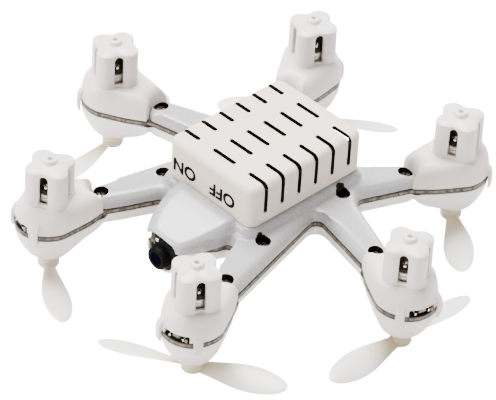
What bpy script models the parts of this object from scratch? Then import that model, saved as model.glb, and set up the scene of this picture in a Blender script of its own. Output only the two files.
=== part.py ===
"""Palm-sized hexacopter with a nose camera, modelled as the pieces it is assembled from.

Lengths are written in millimetres and turned into metres where a mesh is made.
Frame: the nose points to -Y, the vehicle's left is +X, +Z is up. The origin is the middle
of the flat belly of the lower shell, straight below the middle of the six motors.
"""
import math

import bmesh
import bpy

MM = 0.001

# Layout of the six motor pods: name, bearing of the motor from the middle, direction that the
# arm and its pod point, resting angle of the propeller, its turning sense, and the turn of the
# motor's terminals from the heading.
MOTOR_RING = 40.0
PODS = (
    ("front_left", -60.0, -75.0, 28.0, 1, 45.0),
    ("mid_left", 0.0, -15.0, 90.0, -1, 135.0),
    ("rear_left", 60.0, 70.0, -38.8, 1, 45.0),
    ("rear_right", 120.0, 110.0, 35.8, -1, 45.0),
    ("mid_right", 180.0, 195.0, -79.0, 1, 135.0),
    ("front_right", 240.0, 255.0, -33.6, -1, 45.0),
)

# Heights, from the belly up
FIT = 0.15              # gap between pieces that touch
WALL = 0.9              # shell thickness
BELLY = 0.0
BOARD_LOW, BOARD_HIGH = 3.05, 4.05
LOWER_RIM = BOARD_LOW - FIT
UPPER_RIM = BOARD_HIGH + FIT
ARM_TOP = 6.5
DECK_TOP = 8.3
COVER_LOW, COVER_TOP = 8.5, 17.25
CAP_TOP, BOSS_TOP = 17.25, 18.0
CUP_LOW = -3.5
NUDGE = 0.05            # keeps joined shapes from sharing a plane

# Pod seen from above, in its own axes: u points out along the arm, v to its left
POD_OUT, POD_SIDE = 6.7, 6.15
POD_FLANK = ((0.0, POD_SIDE), (-4.4, 5.2), (-6.5, 4.65), (-9.3, 3.6), (-10.65, 2.95))
NECK_ANGLE = 164.5      # where the pod meets the arm, about the motor
TONGUE_U, TONGUE_R = -12.2, 3.3   # round end of the upper shell's arm
ARM_HALF = 2.75

# Motor cap: a round core with four round lobes, one every quarter turn
LOBE_SHIFT, LOBE_R, CORE_R = 2.9, 2.05, 3.65
MOTOR_R, MOTOR_LOW, MOTOR_HIGH = 3.0, -2.5, 11.5
BORE_R = 3.2
SHAFT_R, SHAFT_HOLE = 0.4, 0.5
WINDOW_W, WINDOW_LOW, WINDOW_HIGH = 1.55, 9.7, 16.1
LUG_ANGLE, LUG_W = 38.0, 1.7

# Battery cover over the hub
COVER_X, COVER_FRONT, COVER_REAR = 11.5, -12.5, 17.0
COVER_ROUND = 2.0
SLOT_ROWS, SLOT_FIRST, SLOT_PITCH, SLOT_W = 6, -8.8, 4.4, 0.75
SLOT_MID, SLOT_SIDE, SLOT_LOW = 3.05, 6.65, 10.6

# Nose camera
HOOD_FRONT, HOOD_REAR = -24.3, -12.65
CAMERA_FRONT, CAMERA_BACK = -24.0, -20.9
LENS_Z, LENS_R, LENS_FRONT = 1.3, 2.3, -25.7

# Propeller
BLADE_TIP, BLADE_CHORD, BLADE_Z = 18.6, 5.9, -6.5
PROP_HUB_R, PROP_HIGH, PROP_LOW = 2.1, -4.0, -8.0

# Screws: four through the hub, one at the root of each pod
HUB_SCREWS = ((13.7, -11.2), (13.3, 10.3), (-13.3, 10.3), (-13.7, -11.2))
POD_SCREW_U = -10.9
SCREW_HEAD_R, SCREW_SHANK_R, SCREW_SEAT = 1.3, 0.5, 4.75

# Power switch under the nose
SWITCH_Y, SWITCH_TRAVEL = -13.0, 2.0


# ---------------------------------------------------------------- materials and mesh helpers

def make_material(name, colour, roughness, metallic=0.0):
    """A plain Principled material."""
    material = bpy.data.materials.new(name)
    material.use_nodes = True
    shader = material.node_tree.nodes["Principled BSDF"]
    shader.inputs["Base Color"].default_value = (*colour, 1.0)
    shader.inputs["Roughness"].default_value = roughness
    shader.inputs["Metallic"].default_value = metallic
    return material


def add_object(name, mesh, material=None):
    """Put a mesh in the scene under a node's name."""
    thing = bpy.data.objects.new(name, mesh)
    bpy.context.scene.collection.objects.link(thing)
    if material:
        mesh.materials.clear()
        mesh.materials.append(material)
    return thing


def finish_mesh(name, bm):
    """Scale a millimetre bmesh to metres, point its faces outwards and make it a mesh."""
    bmesh.ops.recalc_face_normals(bm, faces=bm.faces)
    bmesh.ops.scale(bm, vec=(MM, MM, MM), verts=bm.verts)
    mesh = bpy.data.meshes.new(name)
    bm.to_mesh(mesh)
    bm.free()
    return mesh


def loft(name, rings, ring_closed=False):
    """Skin a row of equal rings of (x, y, z); the ends are capped, or joined to each other."""
    bm = bmesh.new()
    rows = [[bm.verts.new(point) for point in ring] for ring in rings]
    pairs = list(zip(rows, rows[1:]))
    if ring_closed:
        pairs.append((rows[-1], rows[0]))
    count = len(rows[0])
    for low, high in pairs:
        for i in range(count):
            j = (i + 1) % count
            bm.faces.new((low[i], low[j], high[j], high[i]))
    if not ring_closed:
        bm.faces.new(rows[0][::-1])
        bm.faces.new(rows[-1])
    return add_object(name, finish_mesh(name, bm))


def at_height(outline, z):
    """Lift a flat outline to a height."""
    return [(x, y, z) for x, y in outline]


def prism(name, outline, low, high):
    """A straight prism on a flat outline."""
    return loft(name, [at_height(outline, low), at_height(outline, high)])


def box(name, low, high):
    """A block from its lowest to its highest corner."""
    outline = [(low[0], low[1]), (high[0], low[1]), (high[0], high[1]), (low[0], high[1])]
    return prism(name, outline, low[2], high[2])


def circle(radius, count, centre=(0.0, 0.0)):
    """Points of a circle, anticlockwise."""
    steps = [2.0 * math.pi * i / count for i in range(count)]
    return [(centre[0] + radius * math.cos(t), centre[1] + radius * math.sin(t)) for t in steps]


def turned(name, profile, count, hollow=False, centre=(0.0, 0.0)):
    """Turn a profile of (radius, z) about a vertical axis; a hollow one closes on itself."""
    rings = [at_height(circle(radius, count, centre), z) for radius, z in profile]
    return loft(name, rings, ring_closed=hollow)


def join_tools(tools):
    """Gather several tools in one object, so that they cut or join in one step."""
    bm = bmesh.new()
    for tool in tools:
        bm.from_mesh(tool.data)
        bpy.data.objects.remove(tool)
    mesh = bpy.data.meshes.new("tools")
    bm.to_mesh(mesh)
    bm.free()
    return add_object("tools", mesh)


def combine(base, tools, operation="DIFFERENCE"):
    """Cut or join a set of tools into the base, then take the tools away."""
    tool = join_tools(tools)
    modifier = base.modifiers.new("combine", "BOOLEAN")
    modifier.operation = operation
    modifier.solver = "EXACT"
    modifier.use_self = True
    modifier.object = tool
    bpy.context.view_layer.update()
    shape = bpy.data.meshes.new_from_object(
        base.evaluated_get(bpy.context.evaluated_depsgraph_get()))
    base.modifiers.clear()
    base.data = shape
    bpy.data.objects.remove(tool)
    return base


def rename(thing, name, material):
    """Give a finished piece its node name and its material."""
    thing.name = name
    thing.data.name = name
    thing.data.materials.clear()
    thing.data.materials.append(material)
    return thing


# ---------------------------------------------------------------- plan outlines

def polar(radius, degrees):
    """A point from its distance and its angle."""
    angle = math.radians(degrees)
    return radius * math.cos(angle), radius * math.sin(angle)


def motor_centre(bearing):
    """Where a motor's axis crosses the plan."""
    return polar(MOTOR_RING, bearing)


def pod_point(bearing, heading, u, v):
    """From a pod's own axes to the plan of the whole drone."""
    x, y = motor_centre(bearing)
    ux, uy = polar(1.0, heading)
    return x + u * ux - v * uy, y + u * uy + v * ux


def flank_radius(degrees):
    """Distance from the motor to the pod's straight flank, by crossing its segments."""
    ray = polar(1.0, abs(degrees))
    for (u0, v0), (u1, v1) in zip(POD_FLANK, POD_FLANK[1:]):
        du, dv = u1 - u0, v1 - v0
        cross = ray[0] * dv - ray[1] * du
        along = (ray[1] * u0 - ray[0] * v0) / cross
        if -1e-6 <= along <= 1.0 + 1e-6:
            return math.hypot(u0 + along * du, v0 + along * dv)
    return math.hypot(*POD_FLANK[-1])


def pod_radius(degrees):
    """Outline of a pod about its motor: round outside, straight flanks, hollowed at the arm."""
    turn = abs((degrees + 180.0) % 360.0 - 180.0)
    if turn <= 90.0:
        c, s = polar(1.0, turn)
        return 1.0 / math.hypot(c / POD_OUT, s / POD_SIDE)
    if turn <= NECK_ANGLE:
        return flank_radius(turn)
    c, s = polar(1.0, 180.0 - turn)
    reach = -TONGUE_U
    return reach * c - math.sqrt((TONGUE_R + FIT) ** 2 - (reach * s) ** 2)


def pod_angles(step=15):
    """Angles for a pod's rings, with the two sides of the arm's neck among them."""
    wide = list(range(-150, 151, step))
    near = [NECK_ANGLE, 168.0, 172.0]
    return [-a for a in reversed(near)] + wide + near + [180.0]


def rounded(corners, steps=3):
    """An outline from (x, y, radius) corners, with an arc in each corner that has a radius."""
    points = []
    for i, (x, y, radius) in enumerate(corners):
        if radius == 0.0:
            points.append((x, y))
            continue
        before, after = corners[i - 1], corners[(i + 1) % len(corners)]
        a = math.atan2(before[1] - y, before[0] - x)
        b = math.atan2(after[1] - y, after[0] - x)
        opening = (b - a + math.pi) % (2.0 * math.pi) - math.pi
        reach = radius / math.sin(abs(opening) / 2.0)
        run = radius / math.tan(abs(opening) / 2.0)
        middle = a + opening / 2.0
        centre = (x + reach * math.cos(middle), y + reach * math.sin(middle))
        start = math.atan2(y + run * math.sin(a) - centre[1], x + run * math.cos(a) - centre[0])
        end = math.atan2(y + run * math.sin(b) - centre[1], x + run * math.cos(b) - centre[0])
        sweep = (end - start + math.pi) % (2.0 * math.pi) - math.pi
        for k in range(steps + 1):
            turn = start + sweep * k / steps
            points.append((centre[0] + radius * math.cos(turn),
                           centre[1] + radius * math.sin(turn)))
    return points


def inset(outline, distance):
    """Move an anticlockwise outline inwards, each corner along its mitre."""
    moved = []
    for i, (x, y) in enumerate(outline):
        px, py = outline[i - 1]
        qx, qy = outline[(i + 1) % len(outline)]
        a, b = math.hypot(x - px, y - py), math.hypot(qx - x, qy - y)
        n1 = ((py - y) / a, (x - px) / a)
        n2 = ((y - qy) / b, (qx - x) / b)
        scale = distance / (1.0 + n1[0] * n2[0] + n1[1] * n2[1])
        moved.append((x + (n1[0] + n2[0]) * scale, y + (n1[1] + n2[1]) * scale))
    return moved


def pod_end(bearing, heading):
    """The whole pod outline, from one side of the arm's neck to the other."""
    angles = [a for a in pod_angles(25) if abs(a) <= NECK_ANGLE]
    local = [polar(pod_radius(a), a) for a in angles]
    return [(*pod_point(bearing, heading, u, v), 0.0) for u, v in local]


def tongue_end(bearing, heading):
    """The round end of an arm that stops short of the pod."""
    half = math.degrees(math.asin(ARM_HALF / TONGUE_R))
    arc = [polar(TONGUE_R, half * (k / 2.0 - 1.0)) for k in range(5)]
    return [(*pod_point(bearing, heading, TONGUE_U + u, v), 0.0) for u, v in arc]


def frame_outline(arm_end):
    """Outline of the hub and its six arms, anticlockwise from the nose's left corner."""
    nose = [(4.6, -20.5, 2.4), (7.4, -17.0, 2.6), (8.3, -13.4, 1.2)]
    front_roots = [(-21.0, -4.5), (-14.0, -3.5)]
    mid_roots = [(-13.0, 3.2), (-24.9, 4.6)]
    rear_roots = [(-17.3, 5.2)]
    left = []
    for name, bearing, heading, *_rest in PODS[:3]:
        arm = arm_end(bearing, heading)
        if name == "front_left":
            left += nose + [(*pod_point(bearing, heading, *p), 0.0) for p in front_roots] + arm
            left += [(13.2, 3.7, 1.5)]
        elif name == "mid_left":
            left += arm + [(*pod_point(bearing, heading, *p), 0.0) for p in mid_roots]
            left += [(14.7, 13.3, 1.6)]
        else:
            left += arm + [(*pod_point(bearing, heading, *p), 0.0) for p in rear_roots]
            left += [(7.2, 18.2, 2.4)]
    right = [(-x, y, radius) for x, y, radius in reversed(left)]
    return rounded(left + right)


def rounded_box_outline(half_x, front, rear, radius):
    """Plan of a box with round corners."""
    return rounded([(half_x, front, radius), (half_x, rear, radius),
                    (-half_x, rear, radius), (-half_x, front, radius)])


def screw_seats():
    """Plan positions of all ten screws, with a name for each."""
    names = ("hub_front_left", "hub_rear_left", "hub_rear_right", "hub_front_right")
    seats = list(zip(names, HUB_SCREWS))
    for name, bearing, heading, *_rest in PODS:
        seats.append((name, pod_point(bearing, heading, POD_SCREW_U, 0.0)))
    return seats


# ---------------------------------------------------------------- shells

def shell_skin(name, outer, inner):
    """A thin shell from (inset, z) steps outside and inside, meeting at the rim."""
    outline = frame_outline(tongue_end)
    rings = [at_height(inset(outline, d), z) for d, z in reversed(outer)]
    rings += [at_height(inset(outline, d), z) for d, z in inner]
    return loft(name, rings)


def hood_section(y, half, top, low, shrink=0.0):
    """Arched cross-section of the nose hood in the plane of one y."""
    half, top = half - shrink, top - shrink
    side = low + 0.45 * (top - low)
    arch = [(-half, low), (-half, side), (-half + 0.35, side + 0.55 * (top - side)),
            (-half + 1.1, top - 0.35), (-half + 2.2, top)]
    return [(x, y, z) for x, z in arch] + [(-x, y, z) for x, z in reversed(arch)]


def hood_body(name, shrink, low):
    """Nose hood, lofted from the front of the deck down to the camera's mouth."""
    stations = ((HOOD_REAR - shrink, 8.2, 9.4), (-15.5, 7.9, 8.9), (-18.5, 7.2, 8.2),
                (-21.5, 6.0, 7.2), (HOOD_FRONT - shrink, 4.3, 6.3))
    return loft(name, [hood_section(y, half, top, low, shrink) for y, half, top in stations])


def upper_shell(material):
    """Hub, arms, deck for the battery and nose hood, in one moulding."""
    outer = ((0.0, UPPER_RIM), (0.2, 5.1), (0.75, 6.0), (1.7, ARM_TOP))
    inner = ((WALL, UPPER_RIM), (1.05, 5.0), (1.6, ARM_TOP - WALL))
    shell = shell_skin("upper_shell", outer, inner)
    deck = loft("deck", [at_height(rounded_box_outline(x, -f, r, 2.5), z) for x, f, r, z in (
        (12.7, 13.6, 17.3, 5.9), (12.6, 13.4, 17.2, 7.4), (12.1, 12.9, 16.8, DECK_TOP))])
    columns = [turned("column", ((1.9, UPPER_RIM + NUDGE), (1.9, ARM_TOP - 0.3)), 9, centre=seat)
               for _name, seat in screw_seats()]
    hood = hood_body("hood", 0.0, UPPER_RIM + NUDGE)
    combine(shell, [deck, hood] + columns, "UNION")
    bay = loft("bay", [at_height(rounded_box_outline(10.6, -11.4, 15.2, 1.5), z)
                       for z in (UPPER_RIM - 1.0, DECK_TOP - WALL)])
    throat = hood_body("throat", 0.75, UPPER_RIM - 1.0)
    socket_notch = box("notch", (-3.2, 13.0, 3.0), (3.2, 20.0, 6.4))
    seats = [turned("seat", ((0.7, 3.0), (0.7, SCREW_SEAT), (1.5, SCREW_SEAT), (1.5, 8.0)),
                    10, centre=seat) for _name, seat in screw_seats()]
    combine(shell, [bay, throat, socket_notch] + seats)
    return rename(shell, "upper_shell", material)


def cup_body(name, bearing, heading, steps, base_r, shrink=0.0):
    """A round cup under a motor, from (spread, z) steps between its foot and the pod outline."""
    rings = []
    for spread, z in steps:
        ring = []
        for angle in pod_angles(25):
            rim = pod_radius(angle)
            if abs(angle) > 157.0:
                rim = 10.4 / abs(math.cos(math.radians(angle)))
            u, v = polar(base_r + (rim - shrink - base_r) * spread, angle)
            ring.append((*pod_point(bearing, heading, u, v), z))
        rings.append(ring)
    return loft(name, rings)


def round_trough(name, half, low, front, rear, rise):
    """Block with a round bottom and a flat top, from its rear to its front."""
    outline = []
    for k in range(9):
        x, z = polar(half, 180.0 + 22.5 * k)
        outline.append((x, low + half + z))
    outline = [(-half, rise)] + outline + [(half, rise)]
    return loft(name, [[(x, y, z) for x, z in outline] for y in (rear, front)])


def lower_shell(material):
    """Shallow tray under the hub and arms, with a cup for each motor and the camera's cradle."""
    outer = ((0.0, LOWER_RIM), (0.15, 1.9), (0.8, 0.6), (1.7, BELLY))
    inner = ((WALL, LOWER_RIM), (1.05, 1.6), (1.6, BELLY + WALL))
    shell = shell_skin("lower_shell", outer, inner)
    seats = screw_seats()
    bosses = [turned("boss", ((1.45, BELLY + 0.35), (1.45, LOWER_RIM - NUDGE)), 8, centre=seat)
              for _name, seat in seats]
    skin = ((1.0, LOWER_RIM - NUDGE), (0.93, 1.6), (0.66, -0.4), (0.25, -2.5), (0.0, CUP_LOW))
    hollow = ((1.0, LOWER_RIM + 1.0), (0.9, 1.6), (0.0, -1.2), (0.0, MOTOR_LOW - 0.1))
    cups, hollows, holes = [], [], []
    for _name, bearing, heading, *_rest in PODS:
        cups.append(cup_body("cup", bearing, heading, skin, 3.75))
        hollows.append(cup_body("hollow", bearing, heading, hollow, BORE_R, WALL))
        holes.append(turned("hole", ((1.2, -1.0), (1.2, CUP_LOW - 1.0)), 10,
                            centre=motor_centre(bearing)))
    cradle = round_trough("cradle", 4.15, -2.4, HOOD_FRONT, -17.3, LOWER_RIM - 2.0 * NUDGE)
    combine(shell, cups + [cradle], "UNION")
    combine(shell, hollows)
    combine(shell, bosses, "UNION")
    trough = round_trough("trough", 3.4, -1.7, HOOD_FRONT - 1.0, -18.6, LOWER_RIM + 1.0)
    pilots = [turned("pilot", ((0.6, 0.9), (0.6, 4.0)), 8, centre=seat) for _name, seat in seats]
    slot = box("slot", (-2.2, SWITCH_Y - 0.75, -1.0), (2.2, SWITCH_Y + 0.75, 1.5))
    combine(shell, holes + [trough, slot] + pilots)
    return rename(shell, "lower_shell", material)


def circuit_board(material):
    """Board that runs through the hub and every arm, and shows all round between the shells."""
    board = prism("circuit_board", frame_outline(pod_end), BOARD_LOW, BOARD_HIGH)
    cuts = [turned("cut", ((0.8, 2.0), (0.8, 5.0)), 6, centre=seat) for _n, seat in screw_seats()]
    cuts += [turned("cut", ((BORE_R + 0.1, 2.0), (BORE_R + 0.1, 5.0)), 12,
                    centre=motor_centre(pod[1])) for pod in PODS]
    combine(board, cuts)
    return rename(board, "circuit_board", material)


def battery_cover(material):
    """Vented box over the battery, open below and at the rear."""
    steps = ((0.0, COVER_LOW), (0.0, 16.1), (0.25, 16.75), (0.7, 17.1), (1.4, COVER_TOP))
    outline = rounded_box_outline(COVER_X, COVER_FRONT, COVER_REAR, COVER_ROUND)
    cover = loft("battery_cover", [at_height(inset(outline, d), z) for d, z in steps])
    room = rounded_box_outline(COVER_X - WALL, COVER_FRONT + WALL, COVER_REAR + 5.0, 1.0)
    cavity = prism("cavity", room, COVER_LOW - 1.0, COVER_TOP - WALL)
    slots = []
    for row in range(SLOT_ROWS):
        middle = SLOT_FIRST + SLOT_PITCH * row
        front, rear = middle - SLOT_W / 2.0, middle + SLOT_W / 2.0
        slots.append(box("slot", (-SLOT_MID, front, 15.0), (SLOT_MID, rear, 19.0)))
        for low, high in ((SLOT_SIDE, 13.0), (-13.0, -SLOT_SIDE)):
            slots.append(box("slot", (low, front, SLOT_LOW), (high, rear, 19.0)))
    combine(cover, [cavity] + slots)
    return rename(cover, "battery_cover", material)


# ---------------------------------------------------------------- motor pods

def lobe_radius(degrees):
    """Outline of the four-lobed cap about its motor."""
    turn = math.radians((degrees + 45.0) % 90.0 - 45.0)
    across = LOBE_R ** 2 - (LOBE_SHIFT * math.sin(turn)) ** 2
    return max(CORE_R, LOBE_SHIFT * math.cos(turn) + math.sqrt(max(0.0, across)))


def cap_shoulder(degrees):
    """Height at which the pod's flare starts: high at the arm, low on the flanks."""
    turn = abs(degrees)
    if turn <= 130.0:
        return UPPER_RIM + 0.9
    return UPPER_RIM + 0.9 + 1.3 * (turn - 130.0) / 50.0


def cap_outside(degrees):
    """Profile of the cap's skin at one angle, as (radius, z) from the rim to the top."""
    rim, lobe = pod_radius(degrees), lobe_radius(degrees)
    foot = lobe * 1.04
    return ((rim, UPPER_RIM), (rim - 0.1, cap_shoulder(degrees)),
            (foot + 0.7 * (rim - foot), UPPER_RIM + 3.0), (foot, 8.9),
            (lobe, 16.4), (lobe - 0.4, 16.9), (lobe * 0.4, CAP_TOP))


def cap_inside(degrees):
    """Profile of the cap's hollow at one angle, from the rim to its ceiling."""
    rim = pod_radius(degrees) - WALL
    return ((rim, UPPER_RIM), (BORE_R + 0.5 * (rim - BORE_R), UPPER_RIM + 1.8),
            (BORE_R, 8.2), (BORE_R, 16.3))


def cap_mesh():
    """One motor cap about its own motor, with vent slots, retaining lugs and a light window."""
    angles = pod_angles()
    outside = [cap_outside(a) for a in angles]
    inside = [cap_inside(a) for a in angles]
    rings = [[(*polar(p[k][0], a), p[k][1]) for a, p in zip(angles, outside)]
             for k in range(len(outside[0]) - 1, -1, -1)]
    rings += [[(*polar(p[k][0], a), p[k][1]) for a, p in zip(angles, inside)]
              for k in range(len(inside[0]))]
    cap = loft("motor_cap", rings)
    boss = turned("boss", ((1.3, CAP_TOP - 0.4), (1.3, BOSS_TOP - 0.15), (1.15, BOSS_TOP)), 10)
    lugs = [lug(side * LUG_ANGLE) for side in (-1, 1)]
    combine(cap, [boss] + lugs, "UNION")
    slots = []
    for turn in (45.0, 135.0):
        for side in (-1.0, 1.0):
            slots.append(vent_slot(turn, side))
    window = box("window", (4.0, -2.7, 3.0), (9.0, 2.7, 5.6))
    combine(cap, slots + [window, turned("hole", ((0.65, 15.0), (0.65, 19.0)), 8)])
    cap.data.name = "motor_cap"
    mesh = cap.data
    bpy.data.objects.remove(cap)
    return mesh


def vent_slot(degrees, side):
    """Cutter for one round-topped vent slot in the wall of a cap."""
    half = WINDOW_W / 2.0
    arch = [(half * math.cos(math.radians(t)), WINDOW_HIGH - half + half * math.sin(math.radians(t)))
            for t in (0, 60, 120, 180)]
    profile = [(-half, WINDOW_LOW), (half, WINDOW_LOW)] + arch
    rings = []
    for reach in (2.0, 7.0):
        ux, uy = polar(1.0, degrees)
        rings.append([(side * reach * ux - w * uy, side * reach * uy + w * ux, z)
                      for w, z in profile])
    return loft("vent", rings)


def lug(degrees):
    """Hooked lug that reaches from the cap down over the board's edge."""
    profile = ((4.9, 6.9), (5.9, 6.9), (6.95, 5.7), (7.35, 4.7), (7.35, 2.2), (6.95, 1.4),
               (6.62, 1.5), (6.62, 4.3), (4.9, 4.8))
    ux, uy = polar(1.0, degrees)
    rings = []
    for w in (-LUG_W / 2.0, LUG_W / 2.0):
        rings.append([(r * ux - w * uy, r * uy + w * ux, z) for r, z in profile])
    return loft("lug", rings)


def blade(name, turn, sense):
    """One propeller blade, lofted from its root to a round tip."""
    rings = []
    stations = (0.05, 0.2, 0.4, 0.62, 0.8, 0.92, 0.99)
    widest = 0.62
    for s in stations:
        radius = s * BLADE_TIP
        if s > widest:
            chord = BLADE_CHORD * math.sqrt(1.0 - ((s - widest) / (1.0 - widest)) ** 2)
        else:
            ease = s / widest
            chord = 2.4 + (BLADE_CHORD - 2.4) * ease * ease * (3.0 - 2.0 * ease)
        pitch = math.radians(26.0 - 14.0 * s) * sense
        thick = 0.34 - 0.14 * s
        camber = 0.06 * chord
        section = ((-0.5, 0.0), (0.0, 1.0), (0.5, 0.0), (0.0, -1.0))
        ring = []
        for across, up in section:
            y, z = across * chord, up * thick + camber * (1.0 - 4.0 * across * across)
            y, z = y * math.cos(pitch) - z * math.sin(pitch), y * math.sin(pitch) + z * math.cos(pitch)
            ring.append((turn * radius, turn * y, BLADE_Z + z))
        rings.append(ring)
    return loft(name, rings)


def propeller_mesh(sense):
    """Two-bladed propeller about its own shaft, with a blind hole for the shaft."""
    hub = turned("hub", ((1.6, PROP_HIGH), (1.6, -4.9), (PROP_HUB_R, -5.5), (PROP_HUB_R, -7.0),
                         (1.1, -7.5), (0.8, PROP_LOW)), 12)
    combine(hub, [blade("blade", 1.0, sense), blade("blade", -1.0, sense)], "UNION")
    combine(hub, [turned("hole", ((SHAFT_HOLE, -3.0), (SHAFT_HOLE, -7.0)), 8)])
    mesh = hub.data
    mesh.name = "propeller"
    bpy.data.objects.remove(hub)
    return mesh


def motor_meshes():
    """Can, end cap and shaft of one coreless motor, about its own shaft."""
    can = turned("can", ((SHAFT_HOLE, -3.3), (1.0, -3.3), (1.0, MOTOR_LOW), (MOTOR_R, MOTOR_LOW),
                         (MOTOR_R, MOTOR_HIGH), (SHAFT_HOLE, MOTOR_HIGH)), 12, hollow=True)
    end = turned("end", ((2.85, MOTOR_HIGH + 0.1), (2.85, 12.5)), 12)
    terminals = [box("tab", (x, -0.55, 12.4), (x + 0.8, 0.55, 13.3)) for x in (-2.0, 1.2)]
    combine(end, terminals, "UNION")
    shaft = turned("shaft", ((SHAFT_R, -6.9), (SHAFT_R, 11.0)), 8)
    meshes = []
    for thing in (can, end, shaft):
        meshes.append(thing.data)
        bpy.data.objects.remove(thing)
    return meshes


def place(name, mesh, material, centre, degrees):
    """Stand a copy of a mesh on a motor's axis."""
    thing = add_object(name, mesh.copy(), material)
    thing.data.name = name
    thing.location = (centre[0] * MM, centre[1] * MM, 0.0)
    thing.rotation_euler = (0.0, 0.0, math.radians(degrees))
    return thing


def pods(paint):
    """Six pods: cap, motor, shaft, propeller and navigation light."""
    cap = cap_mesh()
    can, end, shaft = motor_meshes()
    propellers = {sense: propeller_mesh(sense) for sense in (1, -1)}
    light = box("light", (4.9, -1.5, UPPER_RIM), (6.2, 1.5, UPPER_RIM + 0.8))
    for name, bearing, heading, angle, sense, terminals in PODS:
        centre = motor_centre(bearing)
        place("motor_cap_" + name, cap, paint["cream"], centre, heading)
        place("motor_can_" + name, can, paint["steel"], centre, heading)
        place("motor_end_" + name, end, paint["black"], centre, heading + terminals)
        place("motor_shaft_" + name, shaft, paint["steel"], centre, angle)
        place("propeller_" + name, propellers[sense], paint["blade"], centre, angle)
        place("light_" + name, light.data, paint["light"], centre, heading)
    bpy.data.objects.remove(light)


# ---------------------------------------------------------------- camera, battery, switch, screws

def camera(paint):
    """Camera block and its lens barrel, facing forward out of the nose."""
    block = round_trough("camera_module", 3.2, -1.5, CAMERA_FRONT, CAMERA_BACK, 5.2)
    rename(block, "camera_module", paint["black"])
    profile = ((LENS_R, CAMERA_FRONT - FIT), (LENS_R, -25.4), (LENS_R - 0.25, LENS_FRONT),
               (1.5, LENS_FRONT), (1.3, -25.2))
    rings = [[(x, y, LENS_Z + z) for x, z in circle(radius, 18)] for radius, y in profile]
    rename(loft("camera_lens", rings), "camera_lens", paint["black"])


def battery(paint):
    """Flat cell in its bay, and the socket on the board that it plugs into."""
    outline = rounded_box_outline(10.0, -11.2, 14.8, 1.2)
    cell = loft("battery", [at_height(inset(outline, d), z) for d, z in (
        (0.8, 8.55), (0.0, 9.2), (0.0, 14.4), (0.8, 15.05))])
    rename(cell, "battery", paint["foil"])
    socket = box("battery_socket", (-2.4, 13.6, UPPER_RIM), (2.4, 17.9, 6.2))
    mouth = box("mouth", (-1.8, 15.0, 4.8), (1.8, 19.0, 5.7))
    combine(socket, [mouth])
    rename(socket, "battery_socket", paint["white"])


def electronics(paint):
    """Flight controller on the board, under the deck."""
    chip = box("control_chip", (-3.5, -3.5, UPPER_RIM), (3.5, 3.5, 5.2))
    rename(chip, "control_chip", paint["black"])


def power_switch(paint):
    """Slide switch under the board, with its knob in the belly's slot."""
    body = box("switch_body", (-3.4, SWITCH_Y - 1.5, 1.05), (3.4, SWITCH_Y + 1.5, LOWER_RIM))
    groove = box("groove", (-2.0, SWITCH_Y - 0.45, 0.0), (2.0, SWITCH_Y + 0.45, 2.1))
    rename(combine(body, [groove]), "switch_body", paint["steel"])
    rest = SWITCH_TRAVEL / 2.0
    knob = box("switch_knob", (rest - 0.8, SWITCH_Y - 0.55, -0.8), (rest + 0.8, SWITCH_Y + 0.55, 0.9))
    stem = box("stem", (rest - 0.6, SWITCH_Y - 0.3, 0.6), (rest + 0.6, SWITCH_Y + 0.3, 1.9))
    rename(combine(knob, [stem], "UNION"), "switch_knob", paint["black"])


def screws(paint):
    """Ten pan-head screws."""
    profile = ((SCREW_SHANK_R, 1.1), (SCREW_SHANK_R, SCREW_SEAT + 0.1),
               (SCREW_HEAD_R, SCREW_SEAT + 0.1), (SCREW_HEAD_R, 5.4), (0.8, 5.75))
    screw = turned("screw", profile, 8)
    for name, seat in screw_seats():
        place("screw_" + name, screw.data, paint["brass"], seat, 20.0)
    bpy.data.objects.remove(screw)


def build():
    """Clear the scene and make every piece."""
    for thing in list(bpy.data.objects):
        bpy.data.objects.remove(thing)
    paint = {
        "white": make_material("gloss_white", (0.80, 0.81, 0.83), 0.22),
        "cream": make_material("cream_white", (0.84, 0.81, 0.78), 0.35),
        "matte": make_material("matte_white", (0.84, 0.80, 0.77), 0.6),
        "blade": make_material("blade_white", (0.86, 0.82, 0.76), 0.3),
        "board": make_material("board_green", (0.20, 0.17, 0.08), 0.5),
        "steel": make_material("steel", (0.62, 0.60, 0.56), 0.35, 1.0),
        "brass": make_material("brass", (0.45, 0.36, 0.20), 0.4, 1.0),
        "black": make_material("black_plastic", (0.02, 0.02, 0.02), 0.4),
        "foil": make_material("cell_foil", (0.55, 0.56, 0.58), 0.35, 0.6),
        "light": make_material("lamp", (0.75, 0.72, 0.60), 0.3),
    }
    upper_shell(paint["white"])
    lower_shell(paint["cream"])
    circuit_board(paint["board"])
    battery_cover(paint["matte"])
    pods(paint)
    camera(paint)
    battery(paint)
    electronics(paint)
    power_switch(paint)
    screws(paint)


build()
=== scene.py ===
"""Looks of a palm-sized hexacopter with a nose camera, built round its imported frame.

Every piece is modelled in millimetres on the bench, in the frame's own directions (nose to -Y,
the vehicle's left to +X, up to +Z), and is shrunk to metres when it is handed over.
"""
import logging
import math
from dataclasses import dataclass, field
from enum import Enum
from typing import Callable, Iterable, Optional, Sequence

import bmesh
import bpy
from mathutils import Matrix, Vector


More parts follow.
